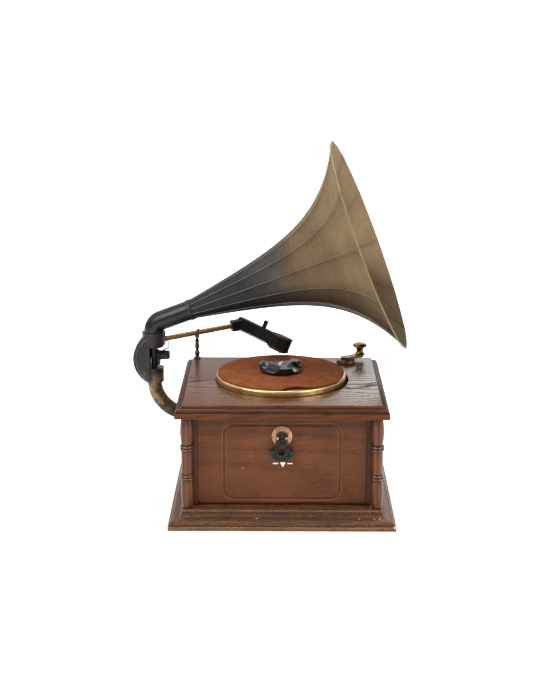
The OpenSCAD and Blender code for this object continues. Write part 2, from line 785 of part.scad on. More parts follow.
module motor_shaft() color(steel) at_motor() translate([0, 0, z_chassis - motor_h + 3.2])
  cylinder(r = shaft_r, h = belt_z + belt_w + 0.6 - z_chassis + motor_h - 3.2);

module motor_pulley() color(brass) at_motor() translate([0, 0, belt_z - 0.8]) difference() {
  union() {
    cylinder(r = pulley_r, h = belt_w + 1.6);
    cylinder(r = pulley_r + 0.6, h = 0.6);
  }
  translate([0, 0, -1]) cylinder(r = shaft_r + press_gap, h = belt_w + 4);
}

module drive_belt() color(black) translate([0, 0, belt_z]) linear_extrude(belt_w) difference() {
  hull() {
    at_platter() circle(drive_ring_r + belt_fit + belt_t, $fn = 96);
    at_motor() circle(pulley_r + belt_fit + belt_t, $fn = 32);
  }
  hull() {
    at_platter() circle(drive_ring_r + belt_fit, $fn = 96);
    at_motor() circle(pulley_r + belt_fit, $fn = 32);
  }
}

// Support tube: out of the wall, round one bend and up into the bracket
module support_tube() color(gunmetal) at_pivot() {
  run = -wall_x - pivot_x - tube_bend_r;
  translate([0, 0, tube_bend_z]) ring(tube_r, tube_in, z_tube_top - tube_bend_z);
  translate([tube_bend_r, 0, tube_bend_z]) rotate([90, 0, 0]) rotate(180) rotate_extrude(angle = 90)
    translate([tube_bend_r, 0]) difference() {
      circle(tube_r);
      circle(tube_in);
    }
  translate([tube_bend_r, 0, tube_wall_z]) along_x(0) ring(tube_r, tube_in, run);
}

module wall_flange() color(gunmetal) difference() {
  translate([-wall_x - flange_t, pivot_y, tube_wall_z]) along_x(0)
    ring(flange_r, tube_r + press_gap, flange_t);
  flange_screw_places() cylinder(r = flange_screw_body + press_gap, h = flange_t + 1);
}

module flange_screws() color(steel) flange_screw_places() {
  translate([0, 0, -flange_head_t]) cylinder(r = 2 * flange_screw_body, h = flange_head_t);
  cylinder(r = flange_screw_body, h = flange_t + flange_screw_grip);
}

// Bracket: a socket on the tube, a round-backed yoke with two cheeks and a collar with a window for the arm
module horn_bracket() color(gunmetal) at_pivot() difference() {
  union() {
    intersection() {
      translate([yoke_shift, 0, yoke_z]) rotate([90, 0, 0]) cylinder(r = yoke_r, h = yoke_t, center = true);
      block([-yoke_r, -yoke_t, z_jaw - socket_h], [-mouth_edge, yoke_t, z_flange]);
    }
    translate([0, 0, z_jaw - socket_h]) cylinder(r = tube_r + socket_wall, h = socket_h);
    translate([0, 0, z_collar]) cylinder(r = collar_r, h = collar_h);
    translate([0, 0, z_flange]) cylinder(r = collar_r + 0.3, h = flange_ring_t);
  }
  translate([0, 0, z_jaw - socket_h - 1]) cylinder(r = tube_r + press_gap, h = socket_h + 1 - jaw_roof);
  translate([0, 0, z_jaw - 2 * jaw_roof]) cylinder(r = shaft_pivot_r + run_fit, h = 3 * jaw_roof);
  block([yoke_shift - yoke_r + cheek_t, cheek_t - yoke_t / 2, z_jaw],
    [0, yoke_t / 2 - cheek_t, z_collar]);
  translate([0, 0, z_pivot_head - head_gap]) cylinder(r = collar_in, h = z_flange - z_pivot_head + head_gap);
  translate([0, 0, z_flange - 1]) cylinder(r = spigot_r + run_fit, h = 10);
  cut = 3 * collar_r;
  rotate(arm_angle) translate([0, 0, z_collar - 1]) linear_extrude(collar_h + 1)
    polygon([[0, 0], [cut, -cut / 2], [cut, 0], [cut * cos(55), cut * sin(55)], [0, cut * 2 / 3]]);
}

// Arm rest post: turned, with a saddle under the arm and a prong with a ball tip before it
module arm_rest_post() color(bronze) translate([post_x, post_y, z_top]) {
  h = z_saddle - z_top;
  turned = [[0, 0], [post_foot_r, 0], [post_foot_r, 1], [1.5, 2.6], [2.45, 4.6], [2.45, 6.2], [1.3, 8.2],
    [2.05, 11], [2.05, 13.4], [1.4, 15.4], [2.1, 16.2], [2.1, 17], [1.3, 18.2], [1.7, h - 1.4], [2.2, h],
    [0, h]];
  rotate_extrude() polygon(turned);
  rotate(arm_angle) {
    translate([-prong_r, -prong_reach, h - 1.2]) cube([2 * prong_r, prong_reach, 1.2]);
    translate([0, -prong_reach, h - 1.2]) cylinder(r = prong_r, h = 2 * arm_tube_r + 2);
    translate([0, -prong_reach, h + 2 * arm_tube_r + 1.4]) sphere(1.3);
  }
}

// Turning head in the collar, slotted for the arm root
module pivot_head() color(gunmetal) at_pivot() rotate(arm_angle) difference() {
  translate([0, 0, z_pivot_head]) cylinder(r = pivot_head_r, h = z_flange - head_gap - z_pivot_head);
  block([-root_back - 1.5, -root_half_w - move_gap, z_slot],
    [collar_r, root_half_w + move_gap, z_flange + 1]);
  translate([0, 0, z_lift]) rotate([90, 0, 0]) cylinder(r = lift_pin_r + press_gap, h = 40, center = true);
}

module pivot_shaft() color(steel) at_pivot() translate([0, 0, z_tube_top + 0.2])
  cylinder(r = shaft_pivot_r, h = z_pivot_head - z_tube_top - 0.2);

module lift_pin() color(steel) along_arm() rotate([90, 0, 0])
  cylinder(r = lift_pin_r, h = 2 * pivot_head_r - 1, center = true);

module spring_hub() color(black) at_pivot() difference() {
  intersection() {
    union() {
      translate([0, 0, z_lift - 15.2]) cylinder(r = spring_hub_r, h = 8.4);
      translate([0, 0, z_spring_hub]) cylinder(r = shaft_pivot_r + 0.8, h = z_lift - 15 - z_spring_hub);
    }
    block([-10, -10, 0], [spring_hub_flat, 10, z_lift]);
  }
  translate([0, 0, z_spring_hub - 1]) cylinder(r = shaft_pivot_r + press_gap, h = 40);
}

module spring_spool() color(black) at_pivot() translate([0, 0, z_spool]) along_x(spring_hub_flat) {
  cylinder(r = spool_r, h = spool_t - 0.8);
  cylinder(r = spool_r - 1, h = spool_t);
}

module spring_knob() color(gunmetal) at_pivot() translate([0, 0, z_spring_knob])
  along_x(spring_hub_flat + spool_t) rotate_extrude() {
    translate([0, 0]) square([spring_knob_r, spring_knob_len - 2]);
    square([spring_knob_r - 2, spring_knob_len]);
    translate([spring_knob_r - 2, spring_knob_len - 2]) circle(2);
  }

// Bent leg of the balance spring, from the knob up to the arm
module balance_spring() color(steel) at_pivot() {
  hook_z = z_lift + hook_reach * tan(arm_slope) - arm_tube_r - wire_r - move_gap;
  leg = [[hook_reach * cos(arm_angle), hook_reach * sin(arm_angle), hook_z],
    [hook_reach * 0.95, 2.2, (hook_z + z_spring_knob) / 2],
    [spring_hub_flat + spool_t + 2.6, 0, z_spring_knob + spring_knob_r + wire_r + 0.1]];
  for (i = [0:len(leg) - 2]) hull() {
    translate(leg[i]) sphere(wire_r, $fn = 12);
    translate(leg[i + 1]) sphere(wire_r, $fn = 12);
  }
}

// Arm root on the lift pin, and the tube that it holds
module arm_root() color(gunmetal) along_arm() difference() {
  block([-root_back, -root_half_w, -root_half_h], [root_front, root_half_w, root_half_h]);
  rotate([90, 0, 0]) cylinder(r = lift_pin_r + run_fit, h = 40, center = true);
  along_x(root_front - 4) cylinder(r = arm_tube_r + press_gap, h = 10);
}

module arm_tube() color(bronze) along_arm() along_x(root_front - 4) {
  cylinder(r = arm_tube_r, h = arm_len - root_front + 4);
  translate([0, 0, 5]) cylinder(r = arm_tube_r + 0.5, h = 2);
}

// Head: a sleeve on the arm tube and an angled box, hollowed round the soundbox
module headshell() color(black) difference() {
  union() {
    along_arm() along_x(arm_len - sleeve_grip) linear_extrude(sleeve_len + sleeve_grip + 1)
      round_rect(sleeve_h / 2, head_w / 2, head_round);
    along_head() along_x(-3) linear_extrude(head_len + 1) round_rect(head_h / 2, head_w / 2, head_round);
  }
  along_arm() along_x(arm_len - sleeve_grip - 1) cylinder(r = arm_tube_r + press_gap, h = sleeve_grip + 1);
  at_soundbox() cylinder(r = rim_r + press_gap, h = 3 * soundbox_t, center = true);
}

module finger_lift() color(black) along_head()
  translate([head_len * 0.55 - tab_w / 2, head_round - head_w / 2, head_h / 2]) cube([tab_w, tab_t, tab_h]);

module soundbox() color(black) at_soundbox() translate([0, 0, -soundbox_t / 2])
  cylinder(r = soundbox_r, h = soundbox_t);

module soundbox_rims() color(bronze) at_soundbox() for (z = [-soundbox_t / 2, soundbox_t / 2 - soundbox_rim])
  translate([0, 0, z]) ring(rim_r, soundbox_r + press_gap, soundbox_rim);

module cartridge() color(suede) at_soundbox() translate([0, 0, -soundbox_t / 2 - cartridge_t]) {
  translate([-cartridge_l / 2, -cartridge_w / 2, 0]) cube([cartridge_l, cartridge_w, cartridge_t]);
  translate([cartridge_l / 2 - 3, 0, -stylus_len]) cylinder(r1 = 0.15, r2 = 0.7, h = stylus_len);
}

// Elbow pipe: a spigot in the bracket's flange, a bend and a straight rise
module horn_elbow() color(gunmetal) {
  in_horn_plane() {
    translate([0, 0, z_pipe - spigot_h]) ring(spigot_r, spigot_r - pipe_wall, spigot_h);
    translate([0, 0, z_pipe]) ring(pipe_r, spigot_r - pipe_wall, z_bend - z_pipe + weld);
    translate([pipe_bend_r, 0, z_bend]) rotate([90, 0, 0]) rotate(180 - elbow_bend)
      rotate_extrude(angle = elbow_bend) translate([pipe_bend_r, 0]) difference() {
        circle(pipe_r);
        circle(pipe_r - pipe_wall);
      }
  }
  at_pipe_end() translate([0, 0, -pipe_len - weld]) ring(pipe_r, pipe_r - pipe_wall, pipe_len + weld);
}

module horn_ferrule() color(gunmetal) at_pipe_end() translate([0, 0, -ferrule_len])
  ring(pipe_r + press_gap + ferrule_t, pipe_r + press_gap, ferrule_len);

// Outside of the horn at a panel corner, its slope, and a point on the inner or outer face
function horn_r(t) = neck_r + neck_slope * t + flare_gain * (exp(t / flare_len) - 1);
function horn_slope(t) = neck_slope + flare_gain / flare_len * exp(t / flare_len);
function ring_t(k) = horn_len * (1 - pow(1 - k / horn_rings, 1.6));
function horn_point(k, turn, side, depth) =
  let (t = ring_t(k), g = horn_slope(t), n = sqrt(1 + g * g), edge = 1 - abs(side),
    rim = edge * scallop * pow(k / horn_rings, 8),
    r = (horn_r(t) - depth / n + rim) * (1 - edge * (1 - cos(180 / panels))),
    a = turn + side * (180 / panels - asin(seam_gap / 2 / r)))
  [r * cos(a), r * sin(a), t + depth * g / n];

// Number of a panel's point by face, ring and place across
function pt(face, k, j) = (face * (horn_rings + 1) + k) * 3 + j;

// One panel of the horn: flat across, flared along, with a scalloped end
module horn_panel(i) {
  turn = seam_turn + (i + 0.5) * 360 / panels;
  last = horn_rings;
  pts = [for (depth = [0, sheet_t], k = [0:last], side = [-1:1]) horn_point(k, turn, side, depth)];
  sheets = [for (k = [0:last - 1], j = [0, 1]) each [
    [pt(0, k, j), pt(0, k + 1, j), pt(0, k + 1, j + 1)],
    [pt(0, k, j), pt(0, k + 1, j + 1), pt(0, k, j + 1)],
    [pt(1, k, j), pt(1, k + 1, j + 1), pt(1, k + 1, j)],
    [pt(1, k, j), pt(1, k, j + 1), pt(1, k + 1, j + 1)]]];
  sides = [for (k = [0:last - 1]) each [
    [pt(0, k, 0), pt(1, k, 0), pt(1, k + 1, 0)],
    [pt(0, k, 0), pt(1, k + 1, 0), pt(0, k + 1, 0)],
    [pt(0, k, 2), pt(1, k + 1, 2), pt(1, k, 2)],
    [pt(0, k, 2), pt(0, k + 1, 2), pt(1, k + 1, 2)]]];
  ends = [for (j = [0, 1]) each [
    [pt(0, 0, j), pt(0, 0, j + 1), pt(1, 0, j + 1)],
    [pt(0, 0, j), pt(1, 0, j + 1), pt(1, 0, j)],
    [pt(0, last, j), pt(1, last, j + 1), pt(0, last, j + 1)],
    [pt(0, last, j), pt(1, last, j), pt(1, last, j + 1)]]];
  polyhedron(pts, concat(sheets, sides, ends));
}

module horn_panels() color(bronze) at_pipe_end() for (i = [0:panels - 1]) horn_panel(i);

// Driver that sounds into the support tube through the wall
module horn_driver() color(black)
  translate([-inner_x, pivot_y - driver_r + sound_hole_r, tube_wall_z]) along_x(0) {
  cylinder(r = driver_r, h = driver_t * 0.45);
  cylinder(r = driver_r * 0.7, h = driver_t);
}

// Lever: a disc with a bar to the knob, on a spindle through the top plate
module control_lever() color(bronze) at_lever() translate([0, 0, z_lever]) {
  cylinder(r1 = lever_disc_r, r2 = lever_disc_r - 0.8, h = lever_disc_t);
  translate([0, 0, lever_disc_t]) linear_extrude(lever_arm_t) {
    circle(lever_end_r + 1);
    translate([0, -lever_end_r]) square([lever_len, 2 * lever_end_r]);
    translate([lever_len, 0]) circle(lever_end_r);
  }
  translate([0, 0, -z_lever + z_plate - pot_h + 1])
    cylinder(r = lever_spindle_r, h = z_lever - z_plate + pot_h - 1);
}

// Mushroom knob with a waisted stem
module lever_knob() color(brass) at_lever() translate([lever_len, 0, z_lever + lever_disc_t + lever_arm_t])
  rotate_extrude() {
    difference() {
      square([knob_r, knob_h - 2.6]);
      translate([knob_r + 1, (knob_h - 2.6) / 2 - 0.6]) circle((knob_h - 2.6) / 2 - 0.2);
    }
    translate([0, knob_h - 4]) square([knob_r - 1.3, 4]);
    translate([knob_r - 1.3, knob_h - 2.6]) circle(1.3, $fn = 32);
  }

module volume_control() color(steel) at_lever() translate([0, 0, z_plate - pot_h]) difference() {
  cylinder(r = pot_r, h = pot_h);
  translate([0, 0, 0.8]) cylinder(r = lever_spindle_r + run_fit, h = pot_h);
}

// Open tray on the bottom panel
module battery_tray() color(black) translate([0, tray_y, bottom_t]) difference() {
  block([-tray_w / 2, -tray_d / 2, 0], [tray_w / 2, tray_d / 2, tray_h]);
  block([tray_wall - tray_w / 2, tray_wall - tray_d / 2, tray_wall],
    [tray_w / 2 - tray_wall, tray_d / 2 - tray_wall, tray_h + 1]);
}

module cell_places() for (i = [0:cells - 1])
  translate([(i - (cells - 1) / 2) * (2 * cell_r + cell_gap), tray_y,
    bottom_t + tray_wall + cell_lift + cell_r]) rotate([90, 0, 0]) children();

module battery_cells() color(copper) cell_places() {
  cylinder(r = cell_r, h = cell_len - 2 * contact_len, center = true);
  translate([0, 0, cell_len / 2 - 2 * contact_len]) cylinder(r = contact_r, h = 2 * contact_len);
}

// Amplifier board on standoffs, with its capacitors, chip and finned heat sink
module amplifier_board() color(board_green) translate([board_c.x, board_c.y, bottom_t]) {
  translate([0, 0, standoff_h]) block([-board_x / 2, -board_y / 2, 0], [board_x / 2, board_y / 2, board_t]);
  at_corners(board_x / 2 - standoff_r, board_y / 2 - standoff_r) cylinder(r = standoff_r, h = standoff_h);
  translate([0, 0, standoff_h + board_t]) {
    for (i = [0:2]) translate([-board_x / 3 + 3 * i * cap_r, board_y / 5, 0]) cylinder(r = cap_r, h = cap_h);
    for (i = [0:fins - 1]) translate([board_x / 4, (i - (fins - 1) / 2) * fin_pitch - fin_t / 2, 0])
      cube([fin_l, fin_t, fin_h]);
    translate([-board_x / 4, -board_y / 3, 0]) cube([fin_l, cap_r * 2, cap_r]);
  }
}

base_plinth();
bottom_panel();
bottom_screws();
left_wall();
right_wall();
rear_panel();
column_front_left();
column_front_right();
column_rear_left();
column_rear_right();
top_plate();
front_door();
door_hinge_pins();
door_hinge_bushes();
door_strike();
door_catch();
pull_disc();
pull_pin();
key_pull();
platter();
drive_ring();
spindle();
mat();
center_adapter();
platter_bearing();
motor_plate();
motor_plate_screws();
motor();
motor_shaft();
motor_pulley();
drive_belt();
support_tube();
wall_flange();
flange_screws();
horn_bracket();
arm_rest_post();
pivot_head();
pivot_shaft();
lift_pin();
spring_hub();
spring_spool();
spring_knob();
balance_spring();
arm_root();
arm_tube();
headshell();
finger_lift();
soundbox();
soundbox_rims();
cartridge();
horn_elbow();
horn_ferrule();
horn_panels();
horn_driver();
control_lever();
lever_knob();
volume_control();
battery_tray();
battery_cells();
amplifier_board();
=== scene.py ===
import json
import math
import bmesh
import bpy
from bmesh.types import BMEdge, BMVert
from mathutils import Matrix, Vector, noise

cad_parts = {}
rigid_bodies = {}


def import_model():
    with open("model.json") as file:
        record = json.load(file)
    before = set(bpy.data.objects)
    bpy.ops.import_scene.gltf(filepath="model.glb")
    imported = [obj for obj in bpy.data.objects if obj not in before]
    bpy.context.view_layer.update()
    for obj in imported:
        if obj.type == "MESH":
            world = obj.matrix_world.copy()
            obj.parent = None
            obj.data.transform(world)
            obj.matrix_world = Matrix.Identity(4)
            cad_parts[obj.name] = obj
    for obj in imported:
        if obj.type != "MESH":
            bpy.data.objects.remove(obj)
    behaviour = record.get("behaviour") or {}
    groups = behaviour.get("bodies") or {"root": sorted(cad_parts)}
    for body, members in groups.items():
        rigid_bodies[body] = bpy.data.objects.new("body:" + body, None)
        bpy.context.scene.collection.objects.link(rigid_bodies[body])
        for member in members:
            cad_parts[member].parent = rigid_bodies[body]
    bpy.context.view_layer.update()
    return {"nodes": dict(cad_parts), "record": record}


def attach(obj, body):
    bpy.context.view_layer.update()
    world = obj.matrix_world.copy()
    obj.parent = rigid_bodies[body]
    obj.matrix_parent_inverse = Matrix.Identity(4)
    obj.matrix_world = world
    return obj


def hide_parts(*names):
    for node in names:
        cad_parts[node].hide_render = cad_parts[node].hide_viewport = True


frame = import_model()
nodes = frame["nodes"]
bodyOf = {node: body for body, members in frame["record"]["behaviour"]["bodies"].items() for node in members}
mm = 0.001
print("frame loaded:", len(nodes), "nodes")

# Sockets and settings of a colour mix: plain, and multiplied as one coat darkens another
mixShare, mixUnder, mixOver, mixOut = 0, 6, 7, 2
blend = {"data_type": "RGBA"}
darken = {"data_type": "RGBA", "blend_type": "MULTIPLY"}


# Small helpers for colours, pattern scales, shader nodes, finishes and pieces
def hexColor(text):
    channels = [int(text[i:i + 2], 16) / 255 for i in (1, 3, 5)]
    return tuple(c / 12.92 if c <= 0.04045 else ((c + 0.055) / 1.055) ** 2.4 for c in channels) + (1.0,)


def perMm(sizeMm):
    return 1 / (sizeMm * mm)


def addNode(tree, kind, inputs, out=0, stops=(), **settings):
    node = tree.nodes.new(kind)
    for key, value in settings.items():
        setattr(node, key, value)
    for socket, value in inputs.items():
        if isinstance(value, bpy.types.NodeSocket):
            tree.links.new(value, node.inputs[socket])
        else:
            node.inputs[socket].default_value = value
    for place, color in stops[2:]:
        node.color_ramp.elements.new(place)
    for element, (place, color) in zip(node.color_ramp.elements if stops else (), stops):
        element.position = place
        element.color = hexColor(color) if isinstance(color, str) else (color, color, color, 1.0)
    return node.outputs[out] if node.outputs else None


def addFinish(name, make, look):
    finish = bpy.data.materials.new(name)
    finish.use_nodes = True
    tree = finish.node_tree
    tree.nodes.clear()
    place = addNode(tree, "ShaderNodeTexCoord", {}, "Object")
    surface = addNode(tree, "ShaderNodeBsdfPrincipled", make(tree, place, look))
    addNode(tree, "ShaderNodeOutputMaterial", {"Surface": surface})
    return finish


def only(kind, geom):
    return [item for item in geom if isinstance(item, kind)]


# Grow a turned form out of a circle of edges, one ring for each radius and level of its profile
def turnRings(bm, edges, profile):
    for radius, level in profile:
        grown = bmesh.ops.extrude_edge_only(bm, edges=edges)["geom"]
        edges = only(BMEdge, grown)
        for v in only(BMVert, grown):
            v.co = (*(v.co.xy.normalized() * radius), level)
    return edges


# Pieces are drawn in millimetres, and copies of nodes in metres
def finishPiece(bm, name, body, finish, smoothDeg=35, replaced=(), unit=mm):
    bmesh.ops.scale(bm, verts=bm.verts, vec=(unit, unit, unit))
    bmesh.ops.recalc_face_normals(bm, faces=bm.faces)
    mesh = bpy.data.meshes.new(name)
    bm.to_mesh(mesh)
    bm.free()
    mesh.polygons.foreach_set("use_smooth", [True] * len(mesh.polygons))
    mesh.set_sharp_from_angle(angle=math.radians(smoothDeg))
    mesh.materials.append(finish)
    piece = bpy.data.objects.new(name, mesh)
    bpy.context.scene.collection.objects.link(piece)
    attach(piece, body)
    if replaced:
        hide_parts(*replaced)
    return piece


# A CAD node whose shape is right gets its finish; one with hard edges gives way to a copy with eased edges
def paintNode(name, finish):
    nodes[name].data.materials.clear()
    nodes[name].data.materials.append(finish)


easing = {"mergeMm": 0.002, "flatDeg": 0.5, "segments": 3, "angleDeg": 32}


def easeNode(name, finish, widthMm, wearAndHighlight=None):
    bm = bmesh.new()
    bm.from_mesh(nodes[name].data)
    bmesh.ops.remove_doubles(bm, verts=bm.verts, dist=easing["mergeMm"] * mm)
    bmesh.ops.dissolve_limit(bm, angle_limit=math.radians(easing["flatDeg"]), verts=bm.verts, edges=bm.edges)
    piece = finishPiece(bm, name + "Eased", bodyOf[name], finish, easing["angleDeg"], [name], 1.0)
    if wearAndHighlight:
        piece.data.materials.append(wearAndHighlight)
    ease = piece.modifiers.new("ease", "BEVEL")
    ease.width = widthMm * mm
    ease.segments = easing["segments"]
    ease.limit_method = "ANGLE"
    ease.angle_limit = math.radians(easing["angleDeg"])
    ease.harden_normals = True
    ease.material = 1 if wearAndHighlight else -1


# Camera where the photograph was taken from
view = {"place": (0.0, -1.1225, 0.4338), "pitchDeg": 14.6, "yawDeg": 0.535, "lensMm": 72.6, "reachM": 200}
camera = bpy.data.objects.new("camera", bpy.data.cameras.new("camera"))
camera.location = view["place"]
camera.rotation_euler = (math.radians(90 - view["pitchDeg"]), 0, math.radians(view["yawDeg"]))
camera.data.lens = view["lensMm"]
camera.data.clip_end = view["reachM"]
bpy.context.scene.collection.objects.link(camera)
bpy.context.scene.camera = camera

# Soft white studio: a surround that is bright behind the object, dim behind the camera, dim in a low band
# all round and white below the horizon, a large key from the left, a fill, a light from above the back and
# a small window whose reflection lies on the right of the varnished top
studio = {"floorM": 1.8, "surround": (0.3, 1.35), "facing": (-0.7, 0.5), "rise": (-0.25, 0.75),
          "horizon": (-0.03, -0.01), "aim": (0, 0, 0.12),
          "band": [(0.22, 1.0), (0.29, 0.44), (0.515, 0.44), (0.585, 1.0)],
          "lamps": {"key": {"place": (-1.1, -1.0, 1.3), "sizeM": 1.1, "watts": 29},
                    "fill": {"place": (1.3, -0.9, 0.9), "sizeM": 1.0, "watts": 24},
                    "top": {"place": (0.1, 0.5, 1.5), "sizeM": 1.4, "watts": 28},
                    "window": {"place": (0.36, 1.6, 0.82), "sizeM": 0.5, "watts": 2.7}}}
world = bpy.data.worlds.new("studio")
world.use_nodes = True
sky = world.node_tree
toward = addNode(sky, "ShaderNodeTexCoord", {}, "Generated")
facing = addNode(sky, "ShaderNodeSeparateXYZ", {"Vector": toward}, "Y")
height = addNode(sky, "ShaderNodeSeparateXYZ", {"Vector": toward}, "Z")
front, back = studio["surround"]
wall = addNode(sky, "ShaderNodeMapRange", {
    "Value": facing, "From Min": studio["facing"][0], "From Max": studio["facing"][1],
    "To Min": front, "To Max": back})
lifted = addNode(sky, "ShaderNodeMapRange", {
    "Value": height, "From Min": studio["rise"][0], "From Max": studio["rise"][1]})
band = addNode(sky, "ShaderNodeValToRGB", {"Fac": lifted}, stops=studio["band"])
above = addNode(sky, "ShaderNodeMath", {0: wall, 1: band}, operation="MULTIPLY")
below = addNode(sky, "ShaderNodeMapRange", {
    "Value": height, "From Min": studio["horizon"][0], "From Max": studio["horizon"][1],
    "To Min": back, "To Max": 0.0})
glow = addNode(sky, "ShaderNodeMath", {0: above, 1: below}, operation="MAXIMUM")
sky.links.new(glow, sky.nodes["Background"].inputs["Strength"])
sky.nodes["Background"].inputs["Color"].default_value = hexColor("#ffffff")
bpy.context.scene.world = world
bpy.context.scene.view_settings.view_transform = "Standard"
for name, lamp in studio["lamps"].items():
    light = bpy.data.objects.new(name, bpy.data.lights.new(name, "AREA"))
    light.data.size = lamp["sizeM"]
    light.data.energy = lamp["watts"]
    light.location = lamp["place"]
    beam = Vector(studio["aim"]) - Vector(lamp["place"])
    light.rotation_euler = beam.to_track_quat("-Z", "Y").to_euler()
    bpy.context.scene.collection.objects.link(light)


# Rolled floor paint: matte, with a faint stipple, so that it stays an even white
def rolledPaint(tree, place, look):
    stipple = addNode(tree, "ShaderNodeTexNoise", {"Vector": place, "Scale": perMm(look["stippleMm"])}, "Fac")
    return {"Base Color": hexColor(look["color"]), "Roughness": 0.9,
            "Normal": addNode(tree, "ShaderNodeBump", {
                "Height": stipple, "Distance": look["depthMm"] * mm, "Strength": 0.3})}


floorPaint = addFinish("rolled white floor paint", rolledPaint,
                       {"color": "#fbfbfa", "stippleMm": 3, "depthMm": 0.02})
floorBm = bmesh.new()
bmesh.ops.create_grid(floorBm, x_segments=1, y_segments=1, size=studio["floorM"])
floorMesh = bpy.data.meshes.new("floor")
floorBm.to_mesh(floorMesh)
floorBm.free()
floorMesh.materials.append(floorPaint)
floor = bpy.data.objects.new("floor", floorMesh)
bpy.context.scene.collection.objects.link(floor)
print("studio ready")
